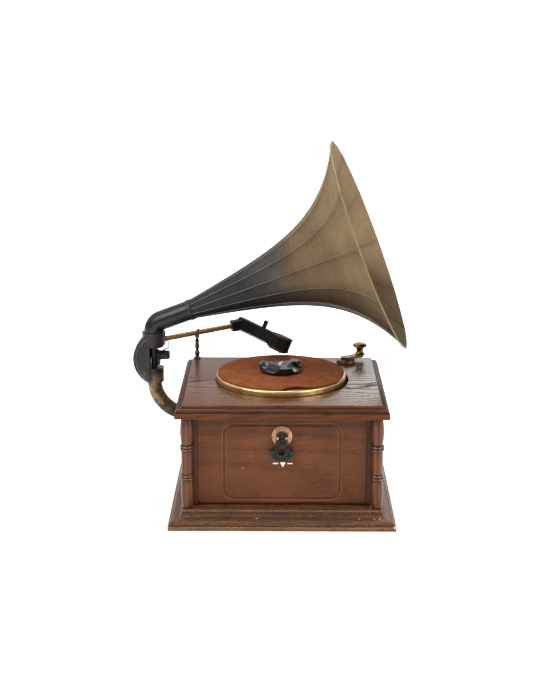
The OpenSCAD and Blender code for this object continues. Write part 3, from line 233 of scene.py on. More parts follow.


# Stained wood under varnish: growth rings cut at a slant draw fine arched lines, short dark pores run with
# the grain, the stain lies in soft clouds, a ramp by height paints shade into the quirks of a moulding and
# highlights on its edges, partly wax and dust, and a few chips show the bare wood. Above polishMm the
# face is rubbed to a shine that shows the rings
def stainedWood(tree, place, look):
    log = addNode(tree, "ShaderNodeMapping", {
        "Vector": place, "Location": tuple(c * mm for c in look["pithMm"]),
        "Rotation": tuple(math.radians(a) for a in look["turnDeg"])})
    drawn = addNode(tree, "ShaderNodeVectorMath", {0: log, 1: look["wanderDrawn"]}, operation="MULTIPLY")
    wander = addNode(tree, "ShaderNodeTexNoise", {
        "Vector": drawn, "Scale": perMm(look["wanderMm"]), "Detail": 4.0}, "Color")
    sway = look["swayMm"] * mm
    shift = addNode(tree, "ShaderNodeVectorMath", {0: wander, 1: (0, sway, sway)}, operation="MULTIPLY")
    bent = addNode(tree, "ShaderNodeVectorMath", {0: log, 1: shift}, operation="ADD")
    cross = addNode(tree, "ShaderNodeVectorMath", {0: bent, 1: look["ringDrawn"]}, operation="MULTIPLY")
    radius = addNode(tree, "ShaderNodeVectorMath", {0: cross}, "Value", operation="LENGTH")
    turns = addNode(tree, "ShaderNodeMath", {0: radius, 1: perMm(look["ringMm"])}, operation="MULTIPLY")
    ring = addNode(tree, "ShaderNodeMath", {0: turns}, operation="FRACT")
    early, middle, late = look["tones"]
    body = addNode(tree, "ShaderNodeValToRGB", {"Fac": ring},
                   stops=[(0.0, middle), (0.1, early), (0.3, middle), (0.7, late), (1.0, middle)])
    fine = addNode(tree, "ShaderNodeVectorMath", {0: bent, 1: look["fibreDrawn"]}, operation="MULTIPLY")
    fibre = addNode(tree, "ShaderNodeTexNoise", {
        "Vector": fine, "Scale": perMm(look["fibreMm"]), "Detail": 5.0, "Roughness": 0.68}, "Fac")
    vessel = addNode(tree, "ShaderNodeTexNoise", {
        "Vector": fine, "Scale": perMm(look["poreMm"]), "Detail": 1.0}, "Fac")
    blotch = addNode(tree, "ShaderNodeTexNoise", {
        "Vector": log, "Scale": perMm(look["stainMm"]), "Detail": 5.0}, "Fac")
    porous = addNode(tree, "ShaderNodeValToRGB", {"Fac": ring}, stops=[(0.0, 1.0), (0.5, 0.25)])
    pit = addNode(tree, "ShaderNodeValToRGB", {"Fac": vessel}, stops=[(0.36, 1.0), (0.47, 0.0)])
    pore = addNode(tree, "ShaderNodeMath", {0: pit, 1: porous}, operation="MULTIPLY")
    streak = addNode(tree, "ShaderNodeValToRGB", {"Fac": fibre}, stops=[(0.28, 0.55), (0.7, 1.0)])
    stain = addNode(tree, "ShaderNodeValToRGB", {"Fac": blotch}, stops=[(0.3, 0.66), (0.68, 1.0)])
    high = addNode(tree, "ShaderNodeSeparateXYZ", {"Vector": place}, "Z")
    polish = addNode(tree, "ShaderNodeMath", {0: high, 1: look["polishMm"] * mm}, operation="GREATER_THAN")
    moreFigure, moreGloss, moreIor = look["polished"]
    drawing = addNode(tree, "ShaderNodeMath", {0: polish, 1: moreFigure, 2: look["figure"]},
                      operation="MULTIPLY_ADD")
    figured = addNode(tree, "ShaderNodeMix", {mixShare: drawing, mixUnder: hexColor(middle), mixOver: body},
                      mixOut, **blend)
    streaked = addNode(tree, "ShaderNodeMix", {mixShare: 0.85, mixUnder: figured, mixOver: streak},
                       mixOut, **darken)
    stained = addNode(tree, "ShaderNodeMix", {mixShare: 0.8, mixUnder: streaked, mixOver: stain},
                      mixOut, **darken)
    depth = addNode(tree, "ShaderNodeMath", {0: pore, 1: look["poreDark"]}, operation="MULTIPLY")
    pored = addNode(tree, "ShaderNodeMix", {
        mixShare: depth, mixUnder: stained, mixOver: hexColor(look["poreColor"])}, mixOut, **blend)
    # Painted shade and highlight, partly wax: a ramp by height darkens the quirks and lightens the edges
    bottom, top = look["soilMm"]
    level = addNode(tree, "ShaderNodeMapRange", {
        "Value": high, "From Min": bottom * mm, "From Max": top * mm})
    shadeAndWaxRamp = addNode(tree, "ShaderNodeValToRGB", {"Fac": level}, stops=look["soil"])
    shadedAndWaxed = addNode(tree, "ShaderNodeMix", {mixShare: 0.9, mixUnder: pored, mixOver: shadeAndWaxRamp}, mixOut, **darken)
    grain = addNode(tree, "ShaderNodeTexNoise", {
        "Vector": place, "Scale": perMm(look["dustMm"]), "Detail": 3.0, "Roughness": 0.6}, "Fac")
    speck = addNode(tree, "ShaderNodeValToRGB", {"Fac": grain}, stops=[(0.4, 0.3), (0.56, 1.0)])
    dusty = addNode(tree, "ShaderNodeMath", {0: shadeAndWaxRamp, 1: -look["speck"], 2: look["speck"]},
                    operation="MULTIPLY_ADD")
    color = addNode(tree, "ShaderNodeMix", {mixShare: dusty, mixUnder: shadedAndWaxed, mixOver: speck}, mixOut, **darken)
    tear = look["tearMm"] * mm
    ragged = addNode(tree, "ShaderNodeMath", {0: fibre, 1: -tear, 2: tear / 2}, operation="MULTIPLY_ADD")
    for x, y, z, size in look["chips"]:
        gap = addNode(tree, "ShaderNodeVectorMath", {0: place, 1: (x * mm, y * mm, z * mm)}, "Value",
                      operation="DISTANCE")
        torn = addNode(tree, "ShaderNodeMath", {0: gap, 1: ragged}, operation="SUBTRACT")
        bare = addNode(tree, "ShaderNodeMath", {0: torn, 1: size * mm}, operation="LESS_THAN")
        color = addNode(tree, "ShaderNodeMix", {
            mixShare: bare, mixUnder: color, mixOver: hexColor(look["chipColor"])}, mixOut, **blend)
    rubbed = addNode(tree, "ShaderNodeMath", {0: polish, 1: moreGloss, 2: look["gloss"]},
                     operation="MULTIPLY_ADD")
    sheen = addNode(tree, "ShaderNodeMath", {0: fibre, 1: 0.12, 2: rubbed}, operation="MULTIPLY_ADD")
    index = addNode(tree, "ShaderNodeMath", {0: polish, 1: moreIor, 2: look["ior"]}, operation="MULTIPLY_ADD")
    line = addNode(tree, "ShaderNodeValToRGB", {"Fac": ring},
                   stops=[(0.0, 0.0), (0.07, 1.0), (0.18, 0.7), (0.3, 0.0)])
    dry = addNode(tree, "ShaderNodeMath", {0: line, 1: polish}, operation="MULTIPLY")
    shine = addNode(tree, "ShaderNodeMath", {0: dry, 1: -0.5, 2: 0.5}, operation="MULTIPLY_ADD", use_clamp=True)
    relief = addNode(tree, "ShaderNodeMath", {0: fibre, 1: pore}, operation="SUBTRACT")
    return {"Base Color": color, "Roughness": sheen, "IOR": index, "Specular IOR Level": shine,
            "Normal": addNode(tree, "ShaderNodeBump", {
                "Height": relief, "Distance": look["depthMm"] * mm, "Strength": look["relief"]})}


# Worked metal: tarnish clouds lie over the alloy's colour, and fine working marks soften the highlight.
# Around the height rubMm the lacquer is rubbed through to warm bare metal
def workedMetal(tree, place, look):
    cloud = addNode(tree, "ShaderNodeTexNoise", {
        "Vector": place, "Scale": perMm(look["cloudMm"]), "Detail": 6.0, "Roughness": 0.62}, "Fac")
    drawn = addNode(tree, "ShaderNodeVectorMath", {0: place, 1: look["along"]}, operation="MULTIPLY")
    lines = addNode(tree, "ShaderNodeTexNoise", {
        "Vector": drawn, "Scale": perMm(look["lineMm"]), "Detail": 3.0}, "Fac")
    tarnish = addNode(tree, "ShaderNodeValToRGB", {"Fac": cloud}, stops=[(0.34, 0.0), (0.68, look["tarnish"])])
    aged = addNode(tree, "ShaderNodeMix", {
        mixShare: tarnish, mixUnder: hexColor(look["bright"]), mixOver: hexColor(look["dull"])},
        mixOut, **blend)
    if "rubMm" in look:
        middle, reach = (size * mm for size in look["rubMm"])
        high = addNode(tree, "ShaderNodeSeparateXYZ", {"Vector": place}, "Z")
        away = addNode(tree, "ShaderNodeMath", {0: high, 1: middle}, operation="SUBTRACT")
        span = addNode(tree, "ShaderNodeMath", {0: away}, operation="ABSOLUTE")
        frayed = addNode(tree, "ShaderNodeMath", {0: cloud, 1: reach, 2: span}, operation="MULTIPLY_ADD")
        rub = addNode(tree, "ShaderNodeMapRange", {
            "Value": frayed, "From Min": reach, "From Max": reach * 2, "To Min": 0.9, "To Max": 0.0})
        bared = addNode(tree, "ShaderNodeValToRGB", {"Fac": cloud}, stops=look["rubTones"])
        aged = addNode(tree, "ShaderNodeMix", {mixShare: rub, mixUnder: aged, mixOver: bared}, mixOut, **blend)
    mark = addNode(tree, "ShaderNodeValToRGB", {"Fac": lines}, stops=[(0.3, 0.8), (0.65, 1.0)])
    color = addNode(tree, "ShaderNodeMix", {mixShare: 0.7, mixUnder: aged, mixOver: mark}, mixOut, **darken)
    less, more = look["roughSpread"]
    rough = addNode(tree, "ShaderNodeMapRange", {
        "Value": cloud, "To Min": look["rough"] - less, "To Max": look["rough"] + more})
    return {"Base Color": color, "Metallic": look["metal"], "Roughness": rough,
            "Normal": addNode(tree, "ShaderNodeBump", {
                "Height": lines, "Distance": look["depthMm"] * mm, "Strength": 0.4})}


# Moulded plastic and paint: a fine spark texture from the mould, rubbed paler in soft clouds
def mouldedPlastic(tree, place, look):
    spark = addNode(tree, "ShaderNodeTexNoise", {
        "Vector": place, "Scale": perMm(look["sparkMm"]), "Detail": 4.0, "Roughness": 0.7}, "Fac")
    cloud = addNode(tree, "ShaderNodeTexNoise", {
        "Vector": place, "Scale": perMm(look["cloudMm"]), "Detail": 5.0}, "Fac")
    rub = addNode(tree, "ShaderNodeValToRGB", {"Fac": cloud}, stops=[(0.42, 0.0), (0.75, look["rub"])])
    color = addNode(tree, "ShaderNodeMix", {
        mixShare: rub, mixUnder: hexColor(look["color"]), mixOver: hexColor(look["rubbed"])}, mixOut, **blend)
    less, more = look["roughSpread"]
    rough = addNode(tree, "ShaderNodeMapRange", {
        "Value": cloud, "To Min": look["rough"] - less, "To Max": look["rough"] + more})
    return {"Base Color": color, "Roughness": rough, "IOR": look["ior"],
            "Normal": addNode(tree, "ShaderNodeBump", {
                "Height": spark, "Distance": look["depthMm"] * mm, "Strength": 0.6})}


# Place and form of the horn, for its lacquer and its trim
horn = {"turnDeg": 5.3, "riseDeg": 21.3, "neck": (-79.43, 50.728, 154.228), "lengthMm": 166, "neckMm": 8.6,
        "mouthMm": 95, "slope": 0.165, "flareMm": 31.5, "panels": 12, "seamTurnDeg": 20, "scallopMm": 2.5}
hornTurn = math.radians(-horn["turnDeg"])
hornRise = math.radians(horn["riseDeg"])
hornAxis = Vector((math.cos(hornRise) * math.cos(hornTurn), math.cos(hornRise) * math.sin(hornTurn),
                   math.sin(hornRise)))
hornUp = (Vector((0, 0, 1)) - hornAxis * hornAxis.z).normalized()
hornNeck = Vector(horn["neck"]) * mm
hornFrame = Matrix.Translation(hornNeck) @ Matrix.Rotation(hornTurn, 4, "Z") @ Matrix.Rotation(
    math.pi / 2 - hornRise, 4, "Y")


# Sprayed horn lacquer: black at the neck fades into brushed antique bronze, with rust flecks, and painted
# shade darkens the underside of the horn and each panel towards its seams
def sprayedLacquer(tree, place, look):
    axis = tuple(hornAxis)
    along = addNode(tree, "ShaderNodeVectorMath", {0: place, 1: axis}, "Value", operation="DOT_PRODUCT")
    cloud = addNode(tree, "ShaderNodeTexNoise", {
        "Vector": place, "Scale": perMm(look["cloudMm"]), "Detail": 5.0}, "Fac")
    sway = addNode(tree, "ShaderNodeMapRange", {
        "Value": cloud, "To Min": -look["swayMm"] * mm, "To Max": look["swayMm"] * mm})
    wavy = addNode(tree, "ShaderNodeMath", {0: along, 1: sway}, operation="ADD")
    start = hornNeck.dot(hornAxis)
    share = addNode(tree, "ShaderNodeMapRange", {
        "Value": wavy, "From Min": start, "From Max": start + horn["lengthMm"] * mm})
    fade = addNode(tree, "ShaderNodeValToRGB", {"Fac": share}, stops=look["fade"])
    level = (0, hornRise, -hornTurn)
    turned = addNode(tree, "ShaderNodeMapping", {"Vector": place, "Rotation": level})
    drawn = addNode(tree, "ShaderNodeVectorMath", {0: turned, 1: look["brushDrawn"]}, operation="MULTIPLY")
    brush = addNode(tree, "ShaderNodeTexNoise", {
        "Vector": drawn, "Scale": perMm(look["brushMm"]), "Detail": 4.0}, "Fac")
    speck = addNode(tree, "ShaderNodeTexNoise", {
        "Vector": place, "Scale": perMm(look["rustMm"]), "Detail": 5.0, "Roughness": 0.7}, "Fac")
    patch = addNode(tree, "ShaderNodeTexNoise", {
        "Vector": place, "Scale": perMm(look["patchMm"]), "Detail": 3.0}, "Fac")
    brushed = addNode(tree, "ShaderNodeValToRGB", {"Fac": brush}, stops=[(0.3, 0.78), (0.7, 1.0)])
    lined = addNode(tree, "ShaderNodeMix", {mixShare: 0.75, mixUnder: fade, mixOver: brushed}, mixOut, **darken)
    tone = addNode(tree, "ShaderNodeValToRGB", {"Fac": cloud}, stops=[(0.3, 0.78), (0.7, 1.0)])
    toned = addNode(tree, "ShaderNodeMix", {mixShare: 0.8, mixUnder: lined, mixOver: tone}, mixOut, **darken)
    dots = addNode(tree, "ShaderNodeValToRGB", {"Fac": speck}, stops=[(0.57, 0.0), (0.65, 1.0)])
    where = addNode(tree, "ShaderNodeValToRGB", {"Fac": patch}, stops=[(0.52, 0.0), (0.62, 0.9)])
    rust = addNode(tree, "ShaderNodeMath", {0: dots, 1: where}, operation="MULTIPLY")
    rusted = addNode(tree, "ShaderNodeMix", {
        mixShare: rust, mixUnder: toned, mixOver: hexColor(look["rust"])}, mixOut, **blend)
    offset = addNode(tree, "ShaderNodeVectorMath", {0: place, 1: tuple(hornNeck)}, operation="SUBTRACT")
    reach = addNode(tree, "ShaderNodeVectorMath", {0: offset, 1: axis}, operation="PROJECT")
    spoke = addNode(tree, "ShaderNodeVectorMath", {0: offset, 1: reach}, operation="SUBTRACT")
    outward = addNode(tree, "ShaderNodeVectorMath", {0: spoke}, operation="NORMALIZE")
    upward = addNode(tree, "ShaderNodeVectorMath", {0: outward, 1: tuple(hornUp)}, "Value",
                     operation="DOT_PRODUCT")
    around = addNode(tree, "ShaderNodeMapRange", {"Value": upward, "From Min": -1.0, "From Max": 1.0})
    # Painted shade: darker on the underside of the horn, by the direction away from its axis
    grime = addNode(tree, "ShaderNodeValToRGB", {"Fac": around}, stops=look["grime"])
    undersideShaded = addNode(tree, "ShaderNodeMix", {mixShare: 1.0, mixUnder: rusted, mixOver: grime}, mixOut, **darken)
    # Painted shade across each panel: darker next to its seams, lighter in its middle
    local = addNode(tree, "ShaderNodeMapping", {"Vector": offset, "Rotation": level})
    sideways = addNode(tree, "ShaderNodeSeparateXYZ", {"Vector": local}, "Y")
    raised = addNode(tree, "ShaderNodeSeparateXYZ", {"Vector": local}, "Z")
    fallen = addNode(tree, "ShaderNodeMath", {0: raised, 1: -1.0}, operation="MULTIPLY")
    angle = addNode(tree, "ShaderNodeMath", {0: sideways, 1: fallen}, operation="ARCTAN2")
    panel = addNode(tree, "ShaderNodeMath", {
        0: angle, 1: horn["panels"] / (2 * math.pi),
        2: horn["panels"] - horn["seamTurnDeg"] * horn["panels"] / 360}, operation="MULTIPLY_ADD")
    within = addNode(tree, "ShaderNodeMath", {0: panel}, operation="FRACT")
    fold = addNode(tree, "ShaderNodeValToRGB", {"Fac": within}, stops=look["fold"])
    color = addNode(tree, "ShaderNodeMix", {mixShare: 0.8, mixUnder: undersideShaded, mixOver: fold}, mixOut, **darken)
    less, more = look["roughSpread"]
    rough = addNode(tree, "ShaderNodeMapRange", {
        "Value": cloud, "To Min": look["rough"] - less, "To Max": look["rough"] + more})
    return {"Base Color": color, "Metallic": look["metal"], "Roughness": rough, "IOR": 1.1,
            "Specular IOR Level": 0.1, "Normal": addNode(tree, "ShaderNodeBump", {
                "Height": brush, "Distance": look["depthMm"] * mm, "Strength": 0.4})}


# Suede: napped leather with no gloss, cloudy where the nap lies another way
def nappedLeather(tree, place, look):
    nap = addNode(tree, "ShaderNodeTexNoise", {
        "Vector": place, "Scale": perMm(look["napMm"]), "Detail": 6.0, "Roughness": 0.8}, "Fac")
    cloud = addNode(tree, "ShaderNodeTexNoise", {
        "Vector": place, "Scale": perMm(look["cloudMm"]), "Detail": 6.0}, "Fac")
    tone = addNode(tree, "ShaderNodeValToRGB", {"Fac": cloud}, stops=look["tones"])
    fleck = addNode(tree, "ShaderNodeValToRGB", {"Fac": nap}, stops=[(0.32, 0.5), (0.62, 1.0)])
    color = addNode(tree, "ShaderNodeMix", {mixShare: 0.8, mixUnder: tone, mixOver: fleck}, mixOut, **darken)
    return {"Base Color": color, "Roughness": 1.0, "IOR": 1.15,
            "Normal": addNode(tree, "ShaderNodeBump", {
                "Height": nap, "Distance": look["depthMm"] * mm, "Strength": 0.6})}


# Looks of the finishes; a look starts from its family's and changes only what differs
topFaceMm = max(v.co.z for v in nodes["top_plate"].data.vertices) / mm
# Woods: the top mirrors the room, mouldings have painted shade and some wax in their quirks beside edges
# lightened by wear and painted highlight, and the door is calm
oak = {"turnDeg": (0, 2.5, 3), "pithMm": (0, 12, -62), "ringMm": 4.2, "ringDrawn": (0.02, 1, 1), "swayMm": 7,
       "wanderMm": 19, "wanderDrawn": (0.3, 1, 1), "fibreMm": 1.3, "fibreDrawn": (0.04, 1, 1), "stainMm": 34,
       "poreMm": 0.5, "poreDark": 0.6, "poreColor": "#140a06", "tones": ("#2a1308", "#4f2a15", "#68401f"),
       "figure": 0.6, "gloss": 0.34, "ior": 1.28, "polishMm": 900, "polished": (0.42, -0.16, 0.26),
       "relief": 0.5, "depthMm": 0.05, "soilMm": (0, 14.2), "soil": [(0.0, 1.0), (1.0, 1.0)], "dustMm": 1.5,
       "speck": 0.0, "chips": (), "chipColor": "#c8af88", "tearMm": 2.0}
# Columns: the height ramp paints shade at the foot and the top of each column
upright = {**oak, "turnDeg": (0, 90, 0), "pithMm": (40, 25, 30), "tones": ("#38190b", "#603217", "#764523"),
           "figure": 0.5, "gloss": 0.2, "ior": 1.33, "soilMm": (14.2, 93.5),
           "soil": [(0.0, 0.4), (0.05, 0.9), (0.1, 1.0), (0.9, 1.0), (0.95, 0.85), (1.0, 0.35)]}
# Top: the height ramp paints shade in the quirk of the moulding and highlights on the lip and the top edge
plateWood = addFinish("stained oak, varnished top", stainedWood, {
    **oak, "tones": ("#2a1308", "#552e18", "#6f4629"), "ringMm": 3.0, "swayMm": 6, "figure": 0.16,
    "speck": 0.95, "ior": 1.18, "relief": 0.9, "polishMm": topFaceMm - 0.25, "soilMm": (93.5, topFaceMm),
    "soil": [(0.0, 1.1), (0.4, 1.25), (0.44, 0.15), (0.5, 0.6), (0.68, 0.65), (0.82, 0.28), (0.87, 1.45),
             (0.975, 1.45), (0.99, 1.0)]})
# Plinth: the height ramp paints shade in the quirk, the cove and on the ledge under the door, lighter on the
# lip
plinthWood = addFinish("stained oak, moulded plinth", stainedWood, {
    **oak, "pithMm": (0, 90, 40), "tones": ("#6f4731", "#bb825c", "#d9a177"), "figure": 0.14, "poreDark": 0.8,
    "speck": 0.95, "chips": ((-20.5, -78.3, 8.1, 0.85), (63.6, -78.3, 8.1, 0.65), (75.9, -78.5, 8.1, 0.7),
                             (80.3, -78.6, 8.1, 0.7), (92.3, -84.9, 3.0, 1.2)),
    "soil": [(0.0, 0.25), (0.05, 0.38), (0.18, 0.42), (0.23, 0.75), (0.26, 0.08), (0.33, 0.25), (0.6, 0.23),
             (0.72, 0.17), (0.86, 0.1), (0.9, 0.44), (0.975, 0.44), (1.0, 0.27)]})
sideWood = addFinish("stained oak, side boards", stainedWood,
                     {**oak, "turnDeg": (0, 90, 0), "pithMm": (60, 20, 30), "figure": 0.3})
columnWood = addFinish("stained beech, turned", stainedWood, upright)
# Beads: lighter tones than the columns as painted highlight, with a burnished gloss
beadWoodHighlit = addFinish("stained beech, beads burnished on the lathe", stainedWood, {
    **upright, "tones": ("#42210f", "#6a3c20", "#80502c"), "gloss": 0.08, "ior": 1.6, "relief": 0.2})
doorWood = addFinish("stained walnut veneer, flat cut", stainedWood, {
    **oak, "pithMm": (0, 120, -30), "ringMm": 7, "swayMm": 9, "poreMm": 0.35, "poreDark": 0.65,
    "tones": ("#532b17", "#663a21", "#72452a"), "figure": 0.25, "gloss": 0.45, "ior": 1.25, "relief": 0.3,
    "chips": ((-32.3, -64.2, 46.8, 0.3), (-26.2, -64.2, 57.2, 0.25))})
# Dark rings for the column quirks: painted shade in the grooves
quirkShadeWood = addFinish("stained beech, dark in the quirks as painted shade", stainedWood,
                    {**upright, "tones": ("#120804", "#1d0e07", "#28140a"), "gloss": 0.45})
# Door and groove edges: lighter from rubbing and as painted highlight
rubbedHighlitVeneer = addFinish("stained walnut veneer, rubbed edges and painted highlight", stainedWood,
                         {**oak, "tones": ("#6a4024", "#7f5132", "#92643e"), "figure": 0.5, "gloss": 0.4})
# Bevelled oak edges: lighter from wear and as painted highlight
wearAndHighlightWood = addFinish("stained oak, rubbed edges and painted highlight", stainedWood,
                     {**oak, "tones": ("#6b452b", "#a27552", "#bd976f"), "figure": 0.6, "gloss": 0.4})
# Metals: brass glows, copper and bronze are brown and dull, lacquered gunmetal is near black and shines softly
brass = {"bright": "#dcbb82", "dull": "#9c7d4e", "cloudMm": 9, "lineMm": 0.5, "along": (0.1, 0.1, 1),
         "tarnish": 0.6, "rough": 0.26, "roughSpread": (0.08, 0.16), "metal": 1.0, "depthMm": 0.02}
spunBrass = addFinish("spun brass", workedMetal, brass)
turnedBrass = addFinish("turned brass", workedMetal,
                        {**brass, "bright": "#94703c", "dull": "#4e381b", "cloudMm": 4})
knobBrass = addFinish("turned brass, browned", workedMetal, {
    **brass, "bright": "#755830", "dull": "#4f3a1c", "cloudMm": 12, "tarnish": 0.4, "rough": 0.3,
    "depthMm": 0.005})
agedCopper = addFinish("aged sheet copper", workedMetal,
                       {**brass, "bright": "#bd9272", "dull": "#8a684f", "cloudMm": 4, "rough": 0.42})
agedBronze = addFinish("cast bronze, darkened", workedMetal, {
    **brass, "bright": "#64503e", "dull": "#281e16", "cloudMm": 5, "tarnish": 0.8, "rough": 0.34})
rimBronze = addFinish("turned bronze, browned", workedMetal,
                      {**brass, "bright": "#5c3d2c", "dull": "#2c1b13", "cloudMm": 4, "rough": 0.4})
armBronze = addFinish("drawn bronze tube, lacquered", workedMetal, {
    **brass, "bright": "#7d5731", "dull": "#4c341a", "cloudMm": 6, "rough": 0.42, "metal": 0.45})
seamBronze = addFinish("folded bronze seam, rubbed", workedMetal, {
    **brass, "bright": "#77716a", "dull": "#45413d", "cloudMm": 14, "rough": 0.42, "metal": 0.4})
rimBrass = addFinish("rolled brass rim, lacquered", workedMetal, {
    **brass, "bright": "#7b6240", "dull": "#503e26", "cloudMm": 8, "rough": 0.5, "metal": 0.15})
cast = {**brass, "bright": "#232326", "dull": "#141416", "cloudMm": 12, "tarnish": 0.8, "rough": 0.36,
        "metal": 0.5, "along": (1, 1, 1), "lineMm": 0.8}
gunmetal = addFinish("cast gunmetal, lacquered", workedMetal, cast)
wornGunmetal = addFinish("cast gunmetal, lacquer rubbed to bronze", workedMetal, {
    **cast, "bright": "#2c2927", "dull": "#161413", "cloudMm": 7, "rubMm": (79, 13),
    "rubTones": [(0.36, "#8a6e4a"), (0.5, "#735a3d"), (0.62, "#3f3326")]})
pipeGunmetal = addFinish("drawn gunmetal tube, gloss lacquer", workedMetal,
                         {**cast, "bright": "#1b1b1e", "dull": "#101012", "rough": 0.27})
rubbedGunmetal = addFinish("cast gunmetal, edges rubbed to bronze", workedMetal,
                           {**cast, "bright": "#5b5046", "dull": "#2c2723", "cloudMm": 5})
blackIron = addFinish("black cast iron", workedMetal, {
    **brass, "bright": "#1b1b1c", "dull": "#080808", "cloudMm": 2, "rough": 0.38, "metal": 0.4,
    "along": (1, 1, 1), "lineMm": 0.9, "depthMm": 0.3})
plainSteel = addFinish("drawn steel", workedMetal,
                       {**brass, "bright": "#b4b6ba", "dull": "#80838a", "rough": 0.3})
# Plastics, paint and rubber: deep black with a broad sheen, matte where the spark is coarse
plastic = {"color": "#080809", "rubbed": "#181716", "rub": 0.6, "cloudMm": 9, "rough": 0.45,
           "roughSpread": (0.08, 0.14), "ior": 1.38, "sparkMm": 0.4, "depthMm": 0.02}
blackAbs = addFinish("moulded black ABS", mouldedPlastic, plastic)
roughAbs = addFinish("moulded black ABS, coarse spark", mouldedPlastic, {
    **plastic, "rough": 0.6, "ior": 1.25, "sparkMm": 0.9, "depthMm": 0.12, "rubbed": "#1d1917"})
drumAbs = addFinish("moulded black ABS, knurled", mouldedPlastic,
                    {**plastic, "color": "#050506", "rubbed": "#0b0a0a", "rough": 0.4, "ior": 1.25})
glossAbs = addFinish("moulded black ABS, polished", mouldedPlastic,
                     {**plastic, "color": "#0a0b0c", "rough": 0.24, "ior": 1.5})
greyAbs = addFinish("moulded grey ABS", mouldedPlastic, {**plastic, "color": "#9c9995", "rubbed": "#c2bfba"})
brownAbs = addFinish("moulded brown ABS", mouldedPlastic, {**plastic, "color": "#7a4a2a", "rubbed": "#96633d"})
creamPaint = addFinish("screen printed cream paint", mouldedPlastic,
                       {**plastic, "color": "#f3ead6", "rubbed": "#d9c9a8", "rub": 0.4, "rough": 0.55})
softRubber = addFinish("ground rubber", mouldedPlastic, {**plastic, "rough": 0.75, "rubbed": "#242322"})
boardResin = addFinish("laminated green resin", mouldedPlastic,
                       {**plastic, "color": "#1c4a30", "rubbed": "#2c6a45"})
cellWrap = addFinish("shrunk copper coloured wrap", mouldedPlastic,
                     {**plastic, "color": "#9a6436", "rubbed": "#b07c4a", "rough": 0.35})
hornFinish = addFinish("sprayed bronze lacquer", sprayedLacquer, {
    "fade": [(0.0, "#333336"), (0.3, "#353537"), (0.48, "#474340"), (0.66, "#675642"), (1.0, "#7c694f")],
    "cloudMm": 24, "swayMm": 16, "brushMm": 1.1, "brushDrawn": (1, 0.05, 0.05), "rust": "#3f2416",
    "rustMm": 2.4, "patchMm": 18, "grime": [(0.0, 0.3), (0.16, 0.38), (0.3, 0.7), (0.4, 1.0)],
    "fold": [(0.0, 0.62), (0.05, 0.8), (0.3, 0.96), (0.6, 1.0), (0.92, 0.86), (1.0, 0.62)],
    "metal": 0.06, "rough": 0.46, "roughSpread": (0.06, 0.1), "depthMm": 0.02})
suede = addFinish("napped brown suede", nappedLeather, {
    "tones": [(0.3, "#6a381f"), (0.5, "#734025"), (0.7, "#7e492c")], "napMm": 1.7, "cloudMm": 7,
    "depthMm": 0.12})
print("finishes ready:", len(bpy.data.materials))

# Nodes that keep their shape, by finish; the mat, the knob and the soundbox give way to pieces below
painted = [
    (plinthWood, ["bottom_panel"]), (sideWood, ["left_wall", "right_wall"]), (doorWood, ["rear_panel"]),
    (columnWood, ["column_front_left", "column_front_right", "column_rear_left", "column_rear_right"]),
    (plainSteel, ["bottom_screws", "door_hinge_pins", "door_strike", "pull_pin", "spindle", "motor_plate",
                  "motor_plate_screws", "motor_shaft", "flange_screws", "pivot_shaft", "lift_pin",
                  "volume_control"]),
    (turnedBrass, ["door_hinge_bushes", "platter_bearing", "motor_pulley"]), (spunBrass, ["platter"]),
    (blackAbs, ["door_catch", "drive_ring"]), (softRubber, ["drive_belt"]), (boardResin, ["amplifier_board"]),
    (wornGunmetal, ["support_tube"]), (pipeGunmetal, ["spring_knob", "horn_elbow"]),
    (agedBronze, ["arm_rest_post"]), (armBronze, ["arm_tube"]), (hornFinish, ["horn_panels"])]
for finish, names in painted:
    for name in names:
        paintNode(name, finish)

# Nodes that give way to an eased copy: finish, width of the edges in millimetres, and finish of worn edges,
# which on the woods is also a painted highlight
eased = {
    "base_plinth": (plinthWood, 0.45, wearAndHighlightWood), "top_plate": (plateWood, 0.4, wearAndHighlightWood),
    "front_door": (doorWood, 0.4, rubbedHighlitVeneer), "pull_disc": (agedCopper, 0.2), "key_pull": (blackIron, 0.45),
    "center_adapter": (glossAbs, 0.5), "motor": (plainSteel, 0.5), "wall_flange": (gunmetal, 0.4),
    "horn_bracket": (wornGunmetal, 0.9, rubbedGunmetal), "pivot_head": (gunmetal, 0.3),
    "spring_hub": (blackAbs, 0.4), "spring_spool": (blackAbs, 0.3), "balance_spring": (blackIron, 0.02),
    "arm_root": (gunmetal, 0.3), "headshell": (roughAbs, 0.35), "finger_lift": (roughAbs, 0.3),
    "soundbox_rims": (rimBronze, 0.15), "cartridge": (brownAbs, 0.25), "horn_ferrule": (gunmetal, 0.2),
    "horn_driver": (blackAbs, 0.5), "control_lever": (agedBronze, 0.35), "battery_tray": (blackAbs, 0.3),
    "battery_cells": (cellWrap, 0.5)}
for name, edges in eased.items():
    easeNode(name, *edges)

# A coat of lacquer thickens the spring's thin wire
coat = {"piece": "balance_springEased", "thickMm": 0.16}
lacquer = bpy.data.objects[coat["piece"]].modifiers.new("lacquer", "DISPLACE")
lacquer.mid_level = 0.0
lacquer.strength = coat["thickMm"] * mm
print("nodes dressed:", sum(len(names) for finish, names in painted) + len(eased))

# Suede mat: one napped sheet, skived thin towards its edge, with a curl that lifts the front edge and draws
# it back; the curl stays low enough to pass under the head when the platter turns
mat = {"radiusMm": 54.2, "holeMm": 3.85, "thickMm": 1.9, "edgeMm": 1.1, "skiveMm": 24, "centre": (-1.1, 3.6),
       "restMm": 109.12, "rings": 40, "sides": 144, "curlMm": 1.05, "backMm": 6.0, "curlWideMm": 24,
       "curlRunMm": 22, "curlDirDeg": -76, "rippleMm": 0.13, "rippleLongMm": 20, "rippleRow": 0.3,
       "smoothDeg": 60}


